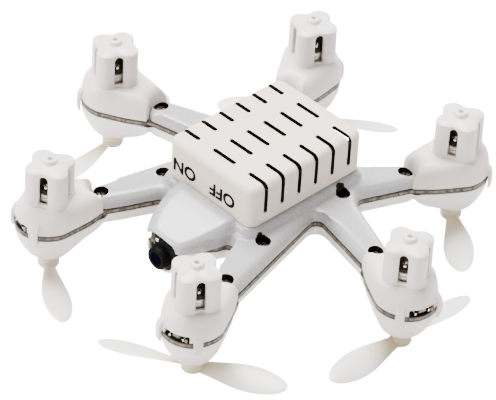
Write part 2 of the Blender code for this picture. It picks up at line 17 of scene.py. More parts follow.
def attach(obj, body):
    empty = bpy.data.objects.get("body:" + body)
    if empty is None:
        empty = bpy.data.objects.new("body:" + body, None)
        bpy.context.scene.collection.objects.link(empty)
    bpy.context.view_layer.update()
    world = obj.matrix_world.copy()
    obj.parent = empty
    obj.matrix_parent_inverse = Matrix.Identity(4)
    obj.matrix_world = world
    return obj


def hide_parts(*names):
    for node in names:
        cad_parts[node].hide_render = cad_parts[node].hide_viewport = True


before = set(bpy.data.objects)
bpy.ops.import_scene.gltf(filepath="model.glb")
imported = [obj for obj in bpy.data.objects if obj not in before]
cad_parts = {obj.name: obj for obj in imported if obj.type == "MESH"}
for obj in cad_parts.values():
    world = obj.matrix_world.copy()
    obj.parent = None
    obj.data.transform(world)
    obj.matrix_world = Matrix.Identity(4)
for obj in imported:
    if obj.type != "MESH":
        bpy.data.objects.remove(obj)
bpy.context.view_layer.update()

LOG = logging.getLogger("hexacopter")

Point = tuple[float, float, float]
Flat = tuple[float, float]
Colour = tuple[float, float, float]
Thing = bpy.types.Object

MM = 0.001
FIT = 0.15                  # gap between pieces that touch
WALL = 0.9
BOARD_LOW, BOARD_HIGH = 3.05, 4.05
LOWER_RIM, UPPER_RIM = BOARD_LOW - FIT, BOARD_HIGH + FIT
ARM_TOP, DECK_TOP = 6.5, 8.3
CAP_TOP, BOSS_TOP = 17.25, 18.0
BORE_R = 3.2
SEAT_Z = 4.75


# ---------------------------------------------------------------- plan of the frame

def polar(radius: float, degrees: float) -> Flat:
    """A flat point from its distance and its angle."""
    angle = math.radians(degrees)
    return radius * math.cos(angle), radius * math.sin(angle)


@dataclass(frozen=True)
class Pod:
    """One motor pod: where it stands and how its arm and its propeller point."""

    name: str
    bearing: float
    heading: float
    rest: float
    sense: int
    terminals: float
    ring: float = 40.0

    def centre(self) -> Flat:
        """Where the motor's axis crosses the plan."""
        return polar(self.ring, self.bearing)

    def point(self, u: float, v: float) -> Flat:
        """From the pod's own axes, u out along the arm, to the plan of the frame."""
        x, y = self.centre()
        ux, uy = polar(1.0, self.heading)
        return x + u * ux - v * uy, y + u * uy + v * ux

    def place(self, degrees: float) -> Matrix:
        """Turn about the motor's axis, then stand on it."""
        x, y = self.centre()
        return Matrix.Translation((x, y, 0.0)) @ Matrix.Rotation(math.radians(degrees), 4, "Z")


PODS: tuple[Pod, ...] = (
    Pod("front_left", -60.0, -75.0, 28.0, 1, 45.0),
    Pod("mid_left", 0.0, -15.0, 90.0, -1, 135.0),
    Pod("rear_left", 60.0, 70.0, -38.8, 1, 45.0),
    Pod("rear_right", 120.0, 110.0, 35.8, -1, 45.0),
    Pod("mid_right", 180.0, 195.0, -79.0, 1, 135.0),
    Pod("front_right", 240.0, 255.0, -33.6, -1, 45.0),
)


@dataclass(frozen=True)
class PodPlan:
    """Outline of a pod about its motor: round outside, straight flanks, hollowed at the arm."""

    out: float = 6.7
    side: float = 6.15
    flank: tuple[Flat, ...] = ((0.0, 6.15), (-4.4, 5.2), (-6.5, 4.65), (-9.3, 3.6), (-10.65, 2.95))
    neck: float = 164.5
    tongue_u: float = -12.2
    tongue_r: float = 3.3
    arm_half: float = 2.75
    screw_u: float = -10.9

    def flank_radius(self, degrees: float) -> float:
        """Distance from the motor to the straight flank.

        Args:
            degrees: angle from the heading, either side.

        Returns:
            Millimetres from the motor's axis.
        """
        ray = polar(1.0, abs(degrees))
        for (u0, v0), (u1, v1) in zip(self.flank, self.flank[1:]):
            du, dv = u1 - u0, v1 - v0
            cross = ray[0] * dv - ray[1] * du
            along = (ray[1] * u0 - ray[0] * v0) / cross
            if -1e-6 <= along <= 1.0 + 1e-6:
                return math.hypot(u0 + along * du, v0 + along * dv)
        return math.hypot(*self.flank[-1])

    def radius(self, degrees: float) -> float:
        """Distance from the motor to the pod's edge at an angle from its heading."""
        turn = abs((degrees + 180.0) % 360.0 - 180.0)
        if turn <= 90.0:
            c, s = polar(1.0, turn)
            return 1.0 / math.hypot(c / self.out, s / self.side)
        if turn <= self.neck:
            return self.flank_radius(turn)
        c, s = polar(1.0, 180.0 - turn)
        return -self.tongue_u * c - math.sqrt((self.tongue_r + FIT) ** 2 - (self.tongue_u * s) ** 2)

    def angles(self, step: float) -> list[float]:
        """Angles for a pod's rings, anticlockwise, with the arm's neck among them."""
        count = int(150 / step)
        wide = [step * k for k in range(-count, count + 1)]
        near = [156.0, 160.5, self.neck, 166.5, 169.0, 171.5, 174.0, 177.0]
        return [-a for a in reversed(near)] + wide + near + [180.0]

    def board_end(self, pod: Pod) -> list[Point]:
        """The whole outline of the pod, from one side of the arm's neck to the other."""
        kept = [a for a in self.angles(5.0) if abs(a) <= self.neck]
        return [(*pod.point(*polar(self.radius(a), a)), 0.0) for a in kept]

    def tongue_end(self, pod: Pod) -> list[Point]:
        """The round end of an arm that stops short of the pod."""
        half = math.degrees(math.asin(self.arm_half / self.tongue_r))
        arc = [polar(self.tongue_r, half * (k / 6.0 - 1.0)) for k in range(13)]
        return [(*pod.point(self.tongue_u + u, v), 0.0) for u, v in arc]


PLAN = PodPlan()


def rounded(corners: Sequence[Point], steps: int = 8) -> list[Flat]:
    """Round the corners of an outline.

    Args:
        corners: (x, y, radius) of each corner; a radius of nought keeps the point.
        steps: pieces in each arc.

    Returns:
        Points of the rounded outline.
    """
    points: list[Flat] = []
    for i, (x, y, radius) in enumerate(corners):
        if radius == 0.0:
            points.append((x, y))
            continue
        before, after = corners[i - 1], corners[(i + 1) % len(corners)]
        a = math.atan2(before[1] - y, before[0] - x)
        b = math.atan2(after[1] - y, after[0] - x)
        opening = (b - a + math.pi) % math.tau - math.pi
        reach = radius / math.sin(abs(opening) / 2.0)
        run = radius / math.tan(abs(opening) / 2.0)
        centre = (x + reach * math.cos(a + opening / 2.0), y + reach * math.sin(a + opening / 2.0))
        start = math.atan2(y + run * math.sin(a) - centre[1], x + run * math.cos(a) - centre[0])
        end = math.atan2(y + run * math.sin(b) - centre[1], x + run * math.cos(b) - centre[0])
        sweep = (end - start + math.pi) % math.tau - math.pi
        for k in range(steps + 1):
            turn = start + sweep * k / steps
            points.append((centre[0] + radius * math.cos(turn), centre[1] + radius * math.sin(turn)))
    return points


def inset(outline: Sequence[Flat], distance: float) -> list[Flat]:
    """Move an anticlockwise outline inwards, each corner along its mitre."""
    moved: list[Flat] = []
    for i, (x, y) in enumerate(outline):
        px, py = outline[i - 1]
        qx, qy = outline[(i + 1) % len(outline)]
        a, b = math.hypot(x - px, y - py), math.hypot(qx - x, qy - y)
        n1 = ((py - y) / a, (x - px) / a)
        n2 = ((y - qy) / b, (qx - x) / b)
        scale = distance / (1.0 + n1[0] * n2[0] + n1[1] * n2[1])
        moved.append((x + (n1[0] + n2[0]) * scale, y + (n1[1] + n2[1]) * scale))
    return moved


def frame_outline(arm_end: Callable[[Pod], list[Point]]) -> list[Flat]:
    """Outline of the hub and its six arms, anticlockwise from the nose's left corner.

    Args:
        arm_end: gives the outline at the end of one arm.

    Returns:
        Points of the outline.
    """
    front, mid, rear = PODS[:3]
    left: list[Point] = [(4.6, -20.5, 2.4), (7.4, -17.0, 2.6), (8.3, -13.4, 1.2)]
    left += [(*front.point(*p), 0.0) for p in ((-21.0, -4.5), (-14.0, -3.5))]
    left += arm_end(front) + [(13.2, 3.7, 1.5)] + arm_end(mid)
    left += [(*mid.point(*p), 0.0) for p in ((-13.0, 3.2), (-24.9, 4.6))]
    left += [(14.7, 13.3, 1.6)] + arm_end(rear)
    left += [(*rear.point(-17.3, 5.2), 0.0), (7.2, 18.2, 2.4)]
    return rounded(left + [(-x, y, radius) for x, y, radius in reversed(left)])


def round_box(half_x: float, front: float, rear: float, radius: float) -> list[Flat]:
    """Plan of a box with round corners, anticlockwise."""
    return rounded([(half_x, front, radius), (half_x, rear, radius),
                    (-half_x, rear, radius), (-half_x, front, radius)])


def at_height(outline: Iterable[Flat], z: float) -> list[Point]:
    """Lift a flat outline to a height."""
    return [(x, y, z) for x, y in outline]


HUB_SCREWS: tuple[tuple[str, Flat], ...] = (
    ("hub_front_left", (13.7, -11.2)), ("hub_rear_left", (13.3, 10.3)),
    ("hub_rear_right", (-13.3, 10.3)), ("hub_front_right", (-13.7, -11.2)))
SEATS: tuple[tuple[str, Flat], ...] = HUB_SCREWS + tuple(
    (pod.name, pod.point(PLAN.screw_u, 0.0)) for pod in PODS)


# ---------------------------------------------------------------- bench

class Bench:
    """Modelling steps, done with the editor's own operators on one piece at a time."""

    @staticmethod
    def take(*things: Thing) -> None:
        """Select only these objects, with the first one active."""
        bpy.ops.object.select_all(action="DESELECT")
        for thing in things:
            thing.select_set(True)
        bpy.context.view_layer.objects.active = things[0]

    @staticmethod
    def edit(thing: Thing, *steps: Callable[[], object]) -> Thing:
        """Run operators in edit mode on the whole of one object."""
        Bench.take(thing)
        bpy.ops.object.mode_set(mode="EDIT")
        bpy.ops.mesh.select_all(action="SELECT")
        for step in steps:
            step()
        bpy.ops.object.mode_set(mode="OBJECT")
        return thing

    @staticmethod
    def outwards(thing: Thing) -> Thing:
        """Point every face outwards."""
        return Bench.edit(thing, lambda: bpy.ops.mesh.normals_make_consistent(inside=False))

    @staticmethod
    def loft(name: str, rings: Sequence[Sequence[Point]], looped: bool = False) -> Thing:
        """Extrude a circle once for each ring, then move its points to the rings.

        Args:
            name: the piece's name.
            rings: rows of equal length, in order.
            looped: join the last ring to the first in place of closing both ends.

        Returns:
            The closed piece.
        """
        count = len(rings[0])
        bpy.ops.object.select_all(action="DESELECT")
        bpy.ops.mesh.primitive_circle_add(vertices=count, radius=1.0)
        piece = bpy.context.object
        piece.name = name
        bpy.ops.object.mode_set(mode="EDIT")
        bpy.ops.mesh.select_all(action="SELECT")
        for _ in rings[1:]:
            bpy.ops.mesh.extrude_region_move(TRANSFORM_OT_translate={"value": (0.0, 0.0, 1.0)})
        bm = bmesh.from_edit_mesh(piece.data)
        ends = ([], [])
        for vert in bm.verts:
            row = round(vert.co.z)
            turn = round(math.atan2(vert.co.y, vert.co.x) / math.tau * count) % count
            if row in (0, len(rings) - 1):
                ends[0 if row == 0 else 1].append((turn, vert))
            vert.co = rings[row][turn]
        loops = [[vert for _turn, vert in sorted(end, key=lambda pair: pair[0])] for end in ends]
        if looped:
            for i in range(count):
                j = (i + 1) % count
                bm.faces.new((loops[0][i], loops[0][j], loops[1][j], loops[1][i]))
        else:
            for loop in loops:
                bm.faces.new(loop)
        bmesh.update_edit_mesh(piece.data)
        bpy.ops.mesh.select_all(action="SELECT")
        bpy.ops.mesh.normals_make_consistent(inside=False)
        if bmesh.from_edit_mesh(piece.data).calc_volume(signed=True) < 0.0:
            bpy.ops.mesh.flip_normals()
        bpy.ops.object.mode_set(mode="OBJECT")
        return piece

    @staticmethod
    def prism(name: str, outline: Sequence[Flat], low: float, high: float) -> Thing:
        """A straight prism on a flat outline."""
        return Bench.loft(name, [at_height(outline, low), at_height(outline, high)])

    @staticmethod
    def block(name: str, low: Point, high: Point, edge: float = 0.0, rows: int = 2) -> Thing:
        """A block between two corners, its edges rounded by a Bevel.

        Args:
            name: the piece's name.
            low: lowest corner.
            high: highest corner.
            edge: width of the rounding.
            rows: segments in the rounding.

        Returns:
            The block.
        """
        middle = [(a + b) / 2.0 for a, b in zip(low, high)]
        bpy.ops.object.select_all(action="DESELECT")
        bpy.ops.mesh.primitive_cube_add(size=1.0, location=middle)
        piece = bpy.context.object
        piece.name = name
        piece.scale = [b - a for a, b in zip(low, high)]
        bpy.ops.object.transform_apply(location=True, rotation=True, scale=True)
        if edge:
            Bench.bevel(piece, edge, rows)
        return piece

    @staticmethod
    def turned(name: str, profile: Sequence[Flat], count: int, centre: Flat = (0.0, 0.0),
               looped: bool = False) -> Thing:
        """Turn a profile of (radius, z) about an upright axis.

        Args:
            name: the piece's name.
            profile: (radius, z) from one end to the other.
            count: points round each ring.
            centre: where the axis crosses the plan.
            looped: close the profile on itself, for a hollow piece.

        Returns:
            The turned piece.
        """
        rings = []
        for radius, z in profile:
            ring = [polar(radius, 360.0 * k / count) for k in range(count)]
            rings.append([(centre[0] + x, centre[1] + y, z) for x, y in ring])
        return Bench.loft(name, rings, looped)

    @staticmethod
    def modify(thing: Thing, kind: str, **settings: object) -> Thing:
        """Add a modifier with these settings and apply it."""
        modifier = thing.modifiers.new(kind.lower(), kind)
        for key, value in settings.items():
            setattr(modifier, key, value)
        Bench.take(thing)
        bpy.ops.object.modifier_apply(modifier=modifier.name)
        return thing

    @staticmethod
    def bevel(thing: Thing, width: float, rows: int = 2, angle: float = 40.0) -> Thing:
        """Round the edges that are sharper than an angle."""
        return Bench.modify(thing, "BEVEL", width=width, segments=rows, limit_method="ANGLE",
                            angle_limit=math.radians(angle), harden_normals=False)

    @staticmethod
    def join(things: Sequence[Thing]) -> Thing:
        """Join objects in one, which keeps the first one's name."""
        Bench.take(*things)
        bpy.ops.object.join()
        return things[0]

    @staticmethod
    def combine(base: Thing, tools: Sequence[Thing], operation: str = "DIFFERENCE") -> Thing:
        """Cut tools from a piece or weld them to it, then take the tools away.

        Args:
            base: the piece that stays.
            tools: closed shapes, which may overlap each other.
            operation: DIFFERENCE or UNION.

        Returns:
            The piece.
        """
        for tool in tools:
            before = len(base.data.vertices)
            Bench.modify(base, "BOOLEAN", operation=operation, solver="MANIFOLD", object=tool)
            if len(base.data.vertices) == before:
                Bench.modify(base, "BOOLEAN", operation=operation, solver="EXACT", object=tool)
                LOG.info("%s: exact cut by %s", base.name, tool.name)
            bpy.data.objects.remove(tool)
        return base

    @staticmethod
    def split(thing: Thing, places: Iterable[float]) -> Thing:
        """Draw an edge round a piece at each y, so that no face is long and much pierced."""
        for y in places:
            Bench.edit(thing, lambda: bpy.ops.mesh.bisect(plane_co=(0.0, y, 0.0),
                                                          plane_no=(0.0, 1.0, 0.0)))
        return thing

    @staticmethod
    def open_rim(thing: Thing, z: float, side: float) -> Thing:
        """Take away the faces against the board, at a height and beyond it.

        Args:
            thing: the shell.
            z: height of its rim.
            side: 1 when the board is above the rim, -1 when it is below.

        Returns:
            The shell.
        """
        Bench.take(thing)
        bpy.ops.object.mode_set(mode="EDIT")
        bpy.ops.mesh.select_all(action="DESELECT")
        bm = bmesh.from_edit_mesh(thing.data)
        for face in bm.faces:
            face.select_set(all(side * (vert.co.z - z) > -1e-3 for vert in face.verts))
        bmesh.update_edit_mesh(thing.data)
        bpy.ops.mesh.delete(type="FACE")
        bpy.ops.object.mode_set(mode="OBJECT")
        return thing

    @staticmethod
    def melt(thing: Thing, voxel: float, rounds: int) -> Thing:
        """Fuse overlapping bodies in one skin and soften every corner, as moulding does."""
        Bench.modify(thing, "REMESH", mode="VOXEL", voxel_size=voxel)
        return Bench.modify(thing, "SMOOTH", factor=0.5, iterations=rounds)

    @staticmethod
    def copy(thing: Thing, name: str, matrix: Matrix) -> Thing:
        """A copy with its own mesh, moved in its mesh."""
        twin = thing.copy()
        twin.data = thing.data.copy()
        twin.name = twin.data.name = name
        bpy.context.scene.collection.objects.link(twin)
        twin.data.transform(matrix)
        return twin

    @staticmethod
    def drop(*things: Thing) -> None:
        """Take patterns and tools off the bench."""
        for thing in things:
            bpy.data.objects.remove(thing)


def paint(thing: Thing, material: bpy.types.Material) -> Thing:
    """Give a whole piece one material."""
    thing.data.materials.clear()
    thing.data.materials.append(material)
    return thing


def hand_over(thing: Thing, body: str, nodes: Sequence[str],
              crease: float = 38.0) -> Thing:
    """Shrink a finished piece to metres, shade it and hang it on the frame.

    Args:
        thing: the piece, in millimetres, with its materials.
        body: the body that it rides on.
        nodes: the frame's pieces that it stands for.
        crease: edges sharper than this stay crisp.

    Returns:
        The piece.
    """
    thing.data.transform(Matrix.Scale(MM, 4))
    thing.data.name = thing.name
    Bench.take(thing)
    bpy.ops.object.shade_smooth_by_angle(angle=math.radians(crease))
    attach(thing, body)
    if nodes:
        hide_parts(*nodes)
    LOG.info("%s: %d faces on %s", thing.name, len(thing.data.polygons), body)
    return thing


# ---------------------------------------------------------------- finishes

class Socket(Enum):
    """Kinds of socket that the shared groups use."""

    NUMBER = "NodeSocketFloat"
    COLOUR = "NodeSocketColor"
    VECTOR = "NodeSocketVector"


class NodeSheet:
    """A node tree that is filled in by short calls."""

    def __init__(self, tree: bpy.types.NodeTree) -> None:
        """Keep the tree to fill in."""
        self.tree = tree

    def add(self, kind: str, values: Optional[dict] = None, **settings: object) -> bpy.types.Node:
        """Add a node.

        Args:
            kind: the node's type name.
            values: numbers, colours or sockets for its inputs, by name or number.
            settings: the node's own properties.

        Returns:
            The node.
        """
        node = self.tree.nodes.new(kind)
        for key, value in settings.items():
            setattr(node, key, value)
        for key, value in (values or {}).items():
            if isinstance(value, bpy.types.NodeSocket):
                self.tree.links.new(value, node.inputs[key])
            else:
                node.inputs[key].default_value = value
        return node

    def maths(self, operation: str, a: object, b: object = 0.0, clamp: bool = False) -> object:
        """Output of a Math node."""
        return self.add("ShaderNodeMath", {0: a, 1: b}, operation=operation,
                        use_clamp=clamp).outputs[0]

    def spread(self, value: object, low: float, high: float, to_low: float = 0.0,
               to_high: float = 1.0) -> object:
        """Output of a Map Range node."""
        return self.add("ShaderNodeMapRange", {"Value": value, "From Min": low, "From Max": high,
                                               "To Min": to_low, "To Max": to_high}).outputs[0]

    def blend(self, factor: object, a: object, b: object) -> object:
        """Colour output of a Mix node."""
        node = self.add("ShaderNodeMix", {}, data_type="RGBA")
        for key, value in (("Factor", factor), ("A", a), ("B", b)):
            socket = next(s for s in node.inputs if s.name == key and
                          (s.type == "RGBA" or (key == "Factor" and s.type == "VALUE")))
            if isinstance(value, bpy.types.NodeSocket):
                self.tree.links.new(value, socket)
            else:
                socket.default_value = value
        return next(s for s in node.outputs if s.type == "RGBA")

    def noise(self, vector: object, scale: object, detail: float = 3.0) -> object:
        """Factor output of a Noise texture."""
        return self.add("ShaderNodeTexNoise", {"Vector": vector, "Scale": scale,
                                               "Detail": detail}).outputs["Fac"]


def shared_group(name: str, inputs: Sequence[tuple[str, Socket, object]],
                 outputs: Sequence[tuple[str, Socket]],
                 fill: Callable[[NodeSheet, bpy.types.Node, bpy.types.Node], None]
                 ) -> bpy.types.NodeTree:
    """Make a shader node group once.

    Args:
        name: the group's name.
        inputs: name, kind and value of each input.
        outputs: name and kind of each output.
        fill: puts the nodes between the group's two ends.

    Returns:
        The group, new or made before.
    """
    if name in bpy.data.node_groups:
        return bpy.data.node_groups[name]
    tree = bpy.data.node_groups.new(name, "ShaderNodeTree")
    for label, kind, value in inputs:
        socket = tree.interface.new_socket(name=label, in_out="INPUT", socket_type=kind.value)
        socket.default_value = value
    for label, kind in outputs:
        tree.interface.new_socket(name=label, in_out="OUTPUT", socket_type=kind.value)
    sheet = NodeSheet(tree)
    fill(sheet, sheet.add("NodeGroupInput"), sheet.add("NodeGroupOutput"))
    return tree


def moulded_skin() -> bpy.types.NodeTree:
    """Slow mottle, fine grain and uneven gloss of a moulded surface."""
    def fill(sheet: NodeSheet, start: bpy.types.Node, end: bpy.types.Node) -> None:
        """Mottle mixes the two colours; grain moves gloss and height."""
        where = start.outputs["Where"]
        slow = sheet.spread(sheet.noise(where, start.outputs["Mottle"], 2.0), 0.35, 0.65)
        fine = sheet.noise(where, start.outputs["Grain"], 4.0)
        link = sheet.tree.links.new
        link(sheet.blend(slow, start.outputs["Main"], start.outputs["Second"]), end.inputs["Tint"])
        gloss = sheet.maths("MULTIPLY_ADD", sheet.maths("SUBTRACT", fine, 0.5), 0.18)
        gloss.node.inputs[2].default_value = 0.0
        link(sheet.maths("ADD", start.outputs["Gloss"], gloss, True), end.inputs["Roughness"])
        link(fine, end.inputs["Height"])

    return shared_group("moulded_skin", (
        ("Where", Socket.VECTOR, (0.0, 0.0, 0.0)), ("Main", Socket.COLOUR, (1.0, 1.0, 1.0, 1.0)),
        ("Second", Socket.COLOUR, (1.0, 1.0, 1.0, 1.0)), ("Mottle", Socket.NUMBER, 60.0),
        ("Grain", Socket.NUMBER, 2500.0), ("Gloss", Socket.NUMBER, 0.3)),
        (("Tint", Socket.COLOUR), ("Roughness", Socket.NUMBER), ("Height", Socket.NUMBER)), fill)


def worn_edges_and_shaded_hollows() -> bpy.types.NodeTree:
    """Edges a little paler, as wear and painted highlight, and inner corners darker, as dust and painted
    shade.
    """
    def fill(sheet: NodeSheet, start: bpy.types.Node, end: bpy.types.Node) -> None:
        """Pointiness picks edges and hollows, broken up by noise."""
        point = sheet.add("ShaderNodeNewGeometry").outputs["Pointiness"]
        patchy = sheet.spread(sheet.noise(start.outputs["Where"], 420.0, 3.0), 0.3, 0.7, 0.4, 1.0)
        edge = sheet.maths("MULTIPLY", sheet.spread(point, 0.52, 0.60), patchy)
        hollow = sheet.maths("MULTIPLY", sheet.spread(point, 0.48, 0.41), patchy)
        rubbed_highlight = sheet.blend(sheet.maths("MULTIPLY", edge, start.outputs["Wear_Highlight"]),
                             start.outputs["Base"], start.outputs["Rubbed_Highlight"])
        dusty = sheet.blend(sheet.maths("MULTIPLY", hollow, start.outputs["Dust_Shade"]),
                            rubbed_highlight, start.outputs["Dust_Shade_Tint"])
        sheet.tree.links.new(dusty, end.inputs["Tint"])

    return shared_group("worn_edges_and_shaded_hollows", (
        ("Where", Socket.VECTOR, (0.0, 0.0, 0.0)), ("Base", Socket.COLOUR, (1.0, 1.0, 1.0, 1.0)),
        ("Rubbed_Highlight", Socket.COLOUR, (1.0, 1.0, 1.0, 1.0)),
        ("Dust_Shade_Tint", Socket.COLOUR, (0.5, 0.45, 0.4, 1.0)), ("Wear_Highlight", Socket.NUMBER, 0.3),
        ("Dust_Shade", Socket.NUMBER, 0.3)), (("Tint", Socket.COLOUR),), fill)


def opened(name: str) -> tuple[bpy.types.Material, NodeSheet, bpy.types.Node, object]:
    """Start a material.

    Args:
        name: the finish's name.

    Returns:
        The material, its sheet, its Principled shader and the Object coordinates.
    """
    material = bpy.data.materials.new("look_" + name)
    material.use_nodes = True
    sheet = NodeSheet(material.node_tree)
    shader = material.node_tree.nodes["Principled BSDF"]
    return material, sheet, shader, sheet.add("ShaderNodeTexCoord").outputs["Object"]


@dataclass(frozen=True)
class MouldedPlastic:
    """Moulded plastic: two close tints, grain, gloss and a little light inside."""

    name: str
    main: Colour
    second: Colour
    gloss: float
    coat: float = 0.0
    inside: float = 0.0
    grain: float = 0.02
    # Edge paling and hollow darkening by pointiness: partly wear and dust, partly painted highlight and
    # painted shade.
    wear: float = 0.25
    dust: float = 0.25
    dusty: Colour = (0.42, 0.37, 0.33)
    mirror: float = 0.5

    def build(self) -> bpy.types.Material:
        """Make the material."""
        material, sheet, shader, where = opened(self.name)
        skin = sheet.add("ShaderNodeGroup", node_tree=moulded_skin())
        edges = sheet.add("ShaderNodeGroup", node_tree=worn_edges_and_shaded_hollows())
        link = sheet.tree.links.new
        link(where, skin.inputs["Where"])
        link(where, edges.inputs["Where"])
        skin.inputs["Main"].default_value = (*self.main, 1.0)
        skin.inputs["Second"].default_value = (*self.second, 1.0)
        skin.inputs["Gloss"].default_value = self.gloss
        link(skin.outputs["Tint"], edges.inputs["Base"])
        # Edges 12% paler and hollows toward the dusty tint: partly wear and dust, partly painted highlight
        # and painted shade.
        edges.inputs["Rubbed_Highlight"].default_value = (*[min(1.0, c * 1.12) for c in self.main], 1.0)
        edges.inputs["Dust_Shade_Tint"].default_value = (*self.dusty, 1.0)
        edges.inputs["Wear_Highlight"].default_value = self.wear
        edges.inputs["Dust_Shade"].default_value = self.dust
        link(edges.outputs["Tint"], shader.inputs["Base Color"])
        link(skin.outputs["Roughness"], shader.inputs["Roughness"])
        bump = sheet.add("ShaderNodeBump", {"Strength": self.grain, "Distance": 0.0002,
                                            "Height": skin.outputs["Height"]})
        link(bump.outputs["Normal"], shader.inputs["Normal"])
        shader.inputs["Coat Weight"].default_value = self.coat
        shader.inputs["Specular IOR Level"].default_value = self.mirror
        shader.inputs["IOR"].default_value = 1.0 + self.mirror
        shader.inputs["Coat Roughness"].default_value = 0.12
        shader.inputs["Subsurface Weight"].default_value = self.inside
        shader.inputs["Subsurface Radius"].default_value = (1.0, 0.8, 0.6)
        shader.inputs["Subsurface Scale"].default_value = 0.0012
        return material


@dataclass(frozen=True)
class BladePlastic:
    """Milky blade plastic: yellower where it is thick by the hub, paler to the tips."""

    name: str
    root: Colour
    tip: Colour
    gloss: float = 0.32

    def build(self) -> bpy.types.Material:
        """Make the material; it reads the blade's own span attribute."""
        material, sheet, shader, where = opened(self.name)
        span = sheet.add("ShaderNodeAttribute", attribute_name="span").outputs["Fac"]
        tint = sheet.blend(sheet.spread(span, 0.12, 0.55), (*self.root, 1.0), (*self.tip, 1.0))
        skin = sheet.add("ShaderNodeGroup", {"Where": where, "Main": tint,
                                             "Second": (*self.tip, 1.0), "Gloss": self.gloss},
                         node_tree=moulded_skin())
        half = sheet.blend(0.35, tint, skin.outputs["Tint"])
        sheet.tree.links.new(half, shader.inputs["Base Color"])
        sheet.tree.links.new(skin.outputs["Roughness"], shader.inputs["Roughness"])
        shader.inputs["Subsurface Weight"].default_value = 0.35
        shader.inputs["Subsurface Radius"].default_value = (1.0, 0.85, 0.65)
        shader.inputs["Subsurface Scale"].default_value = 0.0015
        return material


@dataclass(frozen=True)
class BoardLaminate:
    """Glass laminate: an olive core between dark masks, with plated marks along the edge."""

    name: str
    core: Colour = (0.055, 0.038, 0.012)
    pale: Colour = (0.21, 0.165, 0.085)
    mask: Colour = (0.008, 0.005, 0.003)

    def build(self) -> bpy.types.Material:
        """Make the material; height in the board picks core or mask."""
        material, sheet, shader, where = opened(self.name)
        height = sheet.add("ShaderNodeSeparateXYZ", {0: where}).outputs["Z"]
        middle = (BOARD_LOW + BOARD_HIGH) / 2.0 * MM
        away = sheet.maths("ABSOLUTE", sheet.maths("SUBTRACT", height, middle))
        edge = sheet.spread(away, 0.00020, 0.00034)
        flat = sheet.add("ShaderNodeMapping", {"Vector": where, "Scale": (1.0, 1.0, 0.25)})
        weave = sheet.spread(sheet.noise(flat.outputs[0], 1600.0, 4.0), 0.38, 0.62)
        marks = sheet.spread(sheet.noise(flat.outputs[0], 1500.0, 1.0), 0.52, 0.62)
        core = sheet.blend(weave, (*self.core, 1.0), (*self.pale, 1.0))
        spotted = sheet.blend(sheet.maths("MULTIPLY", marks, 0.85), core, (*self.mask, 1.0))
        tint = sheet.blend(edge, spotted, (*self.mask, 1.0))
        sheet.tree.links.new(tint, shader.inputs["Base Color"])
        sheet.tree.links.new(sheet.spread(weave, 0.3, 0.7, 0.35, 0.6), shader.inputs["Roughness"])
        bump = sheet.add("ShaderNodeBump", {"Strength": 0.35, "Distance": 0.0001, "Height": weave})
        sheet.tree.links.new(bump.outputs["Normal"], shader.inputs["Normal"])
        return material


@dataclass(frozen=True)
class Metal:
    """Metal with drawn or cast unevenness."""

    name: str
    bright: Colour
    dull: Colour
    gloss: float
    stretch: Point = (1.0, 1.0, 1.0)
    metallic: float = 1.0

    def build(self) -> bpy.types.Material:
        """Make the material."""
        material, sheet, shader, where = opened(self.name)
        drawn = sheet.add("ShaderNodeMapping", {"Vector": where, "Scale": self.stretch})
        skin = sheet.add("ShaderNodeGroup", {
            "Where": drawn.outputs[0], "Main": (*self.bright, 1.0), "Second": (*self.dull, 1.0),
            "Mottle": 500.0, "Gloss": self.gloss}, node_tree=moulded_skin())
        sheet.tree.links.new(skin.outputs["Tint"], shader.inputs["Base Color"])
        sheet.tree.links.new(skin.outputs["Roughness"], shader.inputs["Roughness"])
        bump = sheet.add("ShaderNodeBump", {"Strength": 0.12, "Distance": 0.0001,
                                            "Height": skin.outputs["Height"]})
        sheet.tree.links.new(bump.outputs["Normal"], shader.inputs["Normal"])
        shader.inputs["Metallic"].default_value = self.metallic
        return material


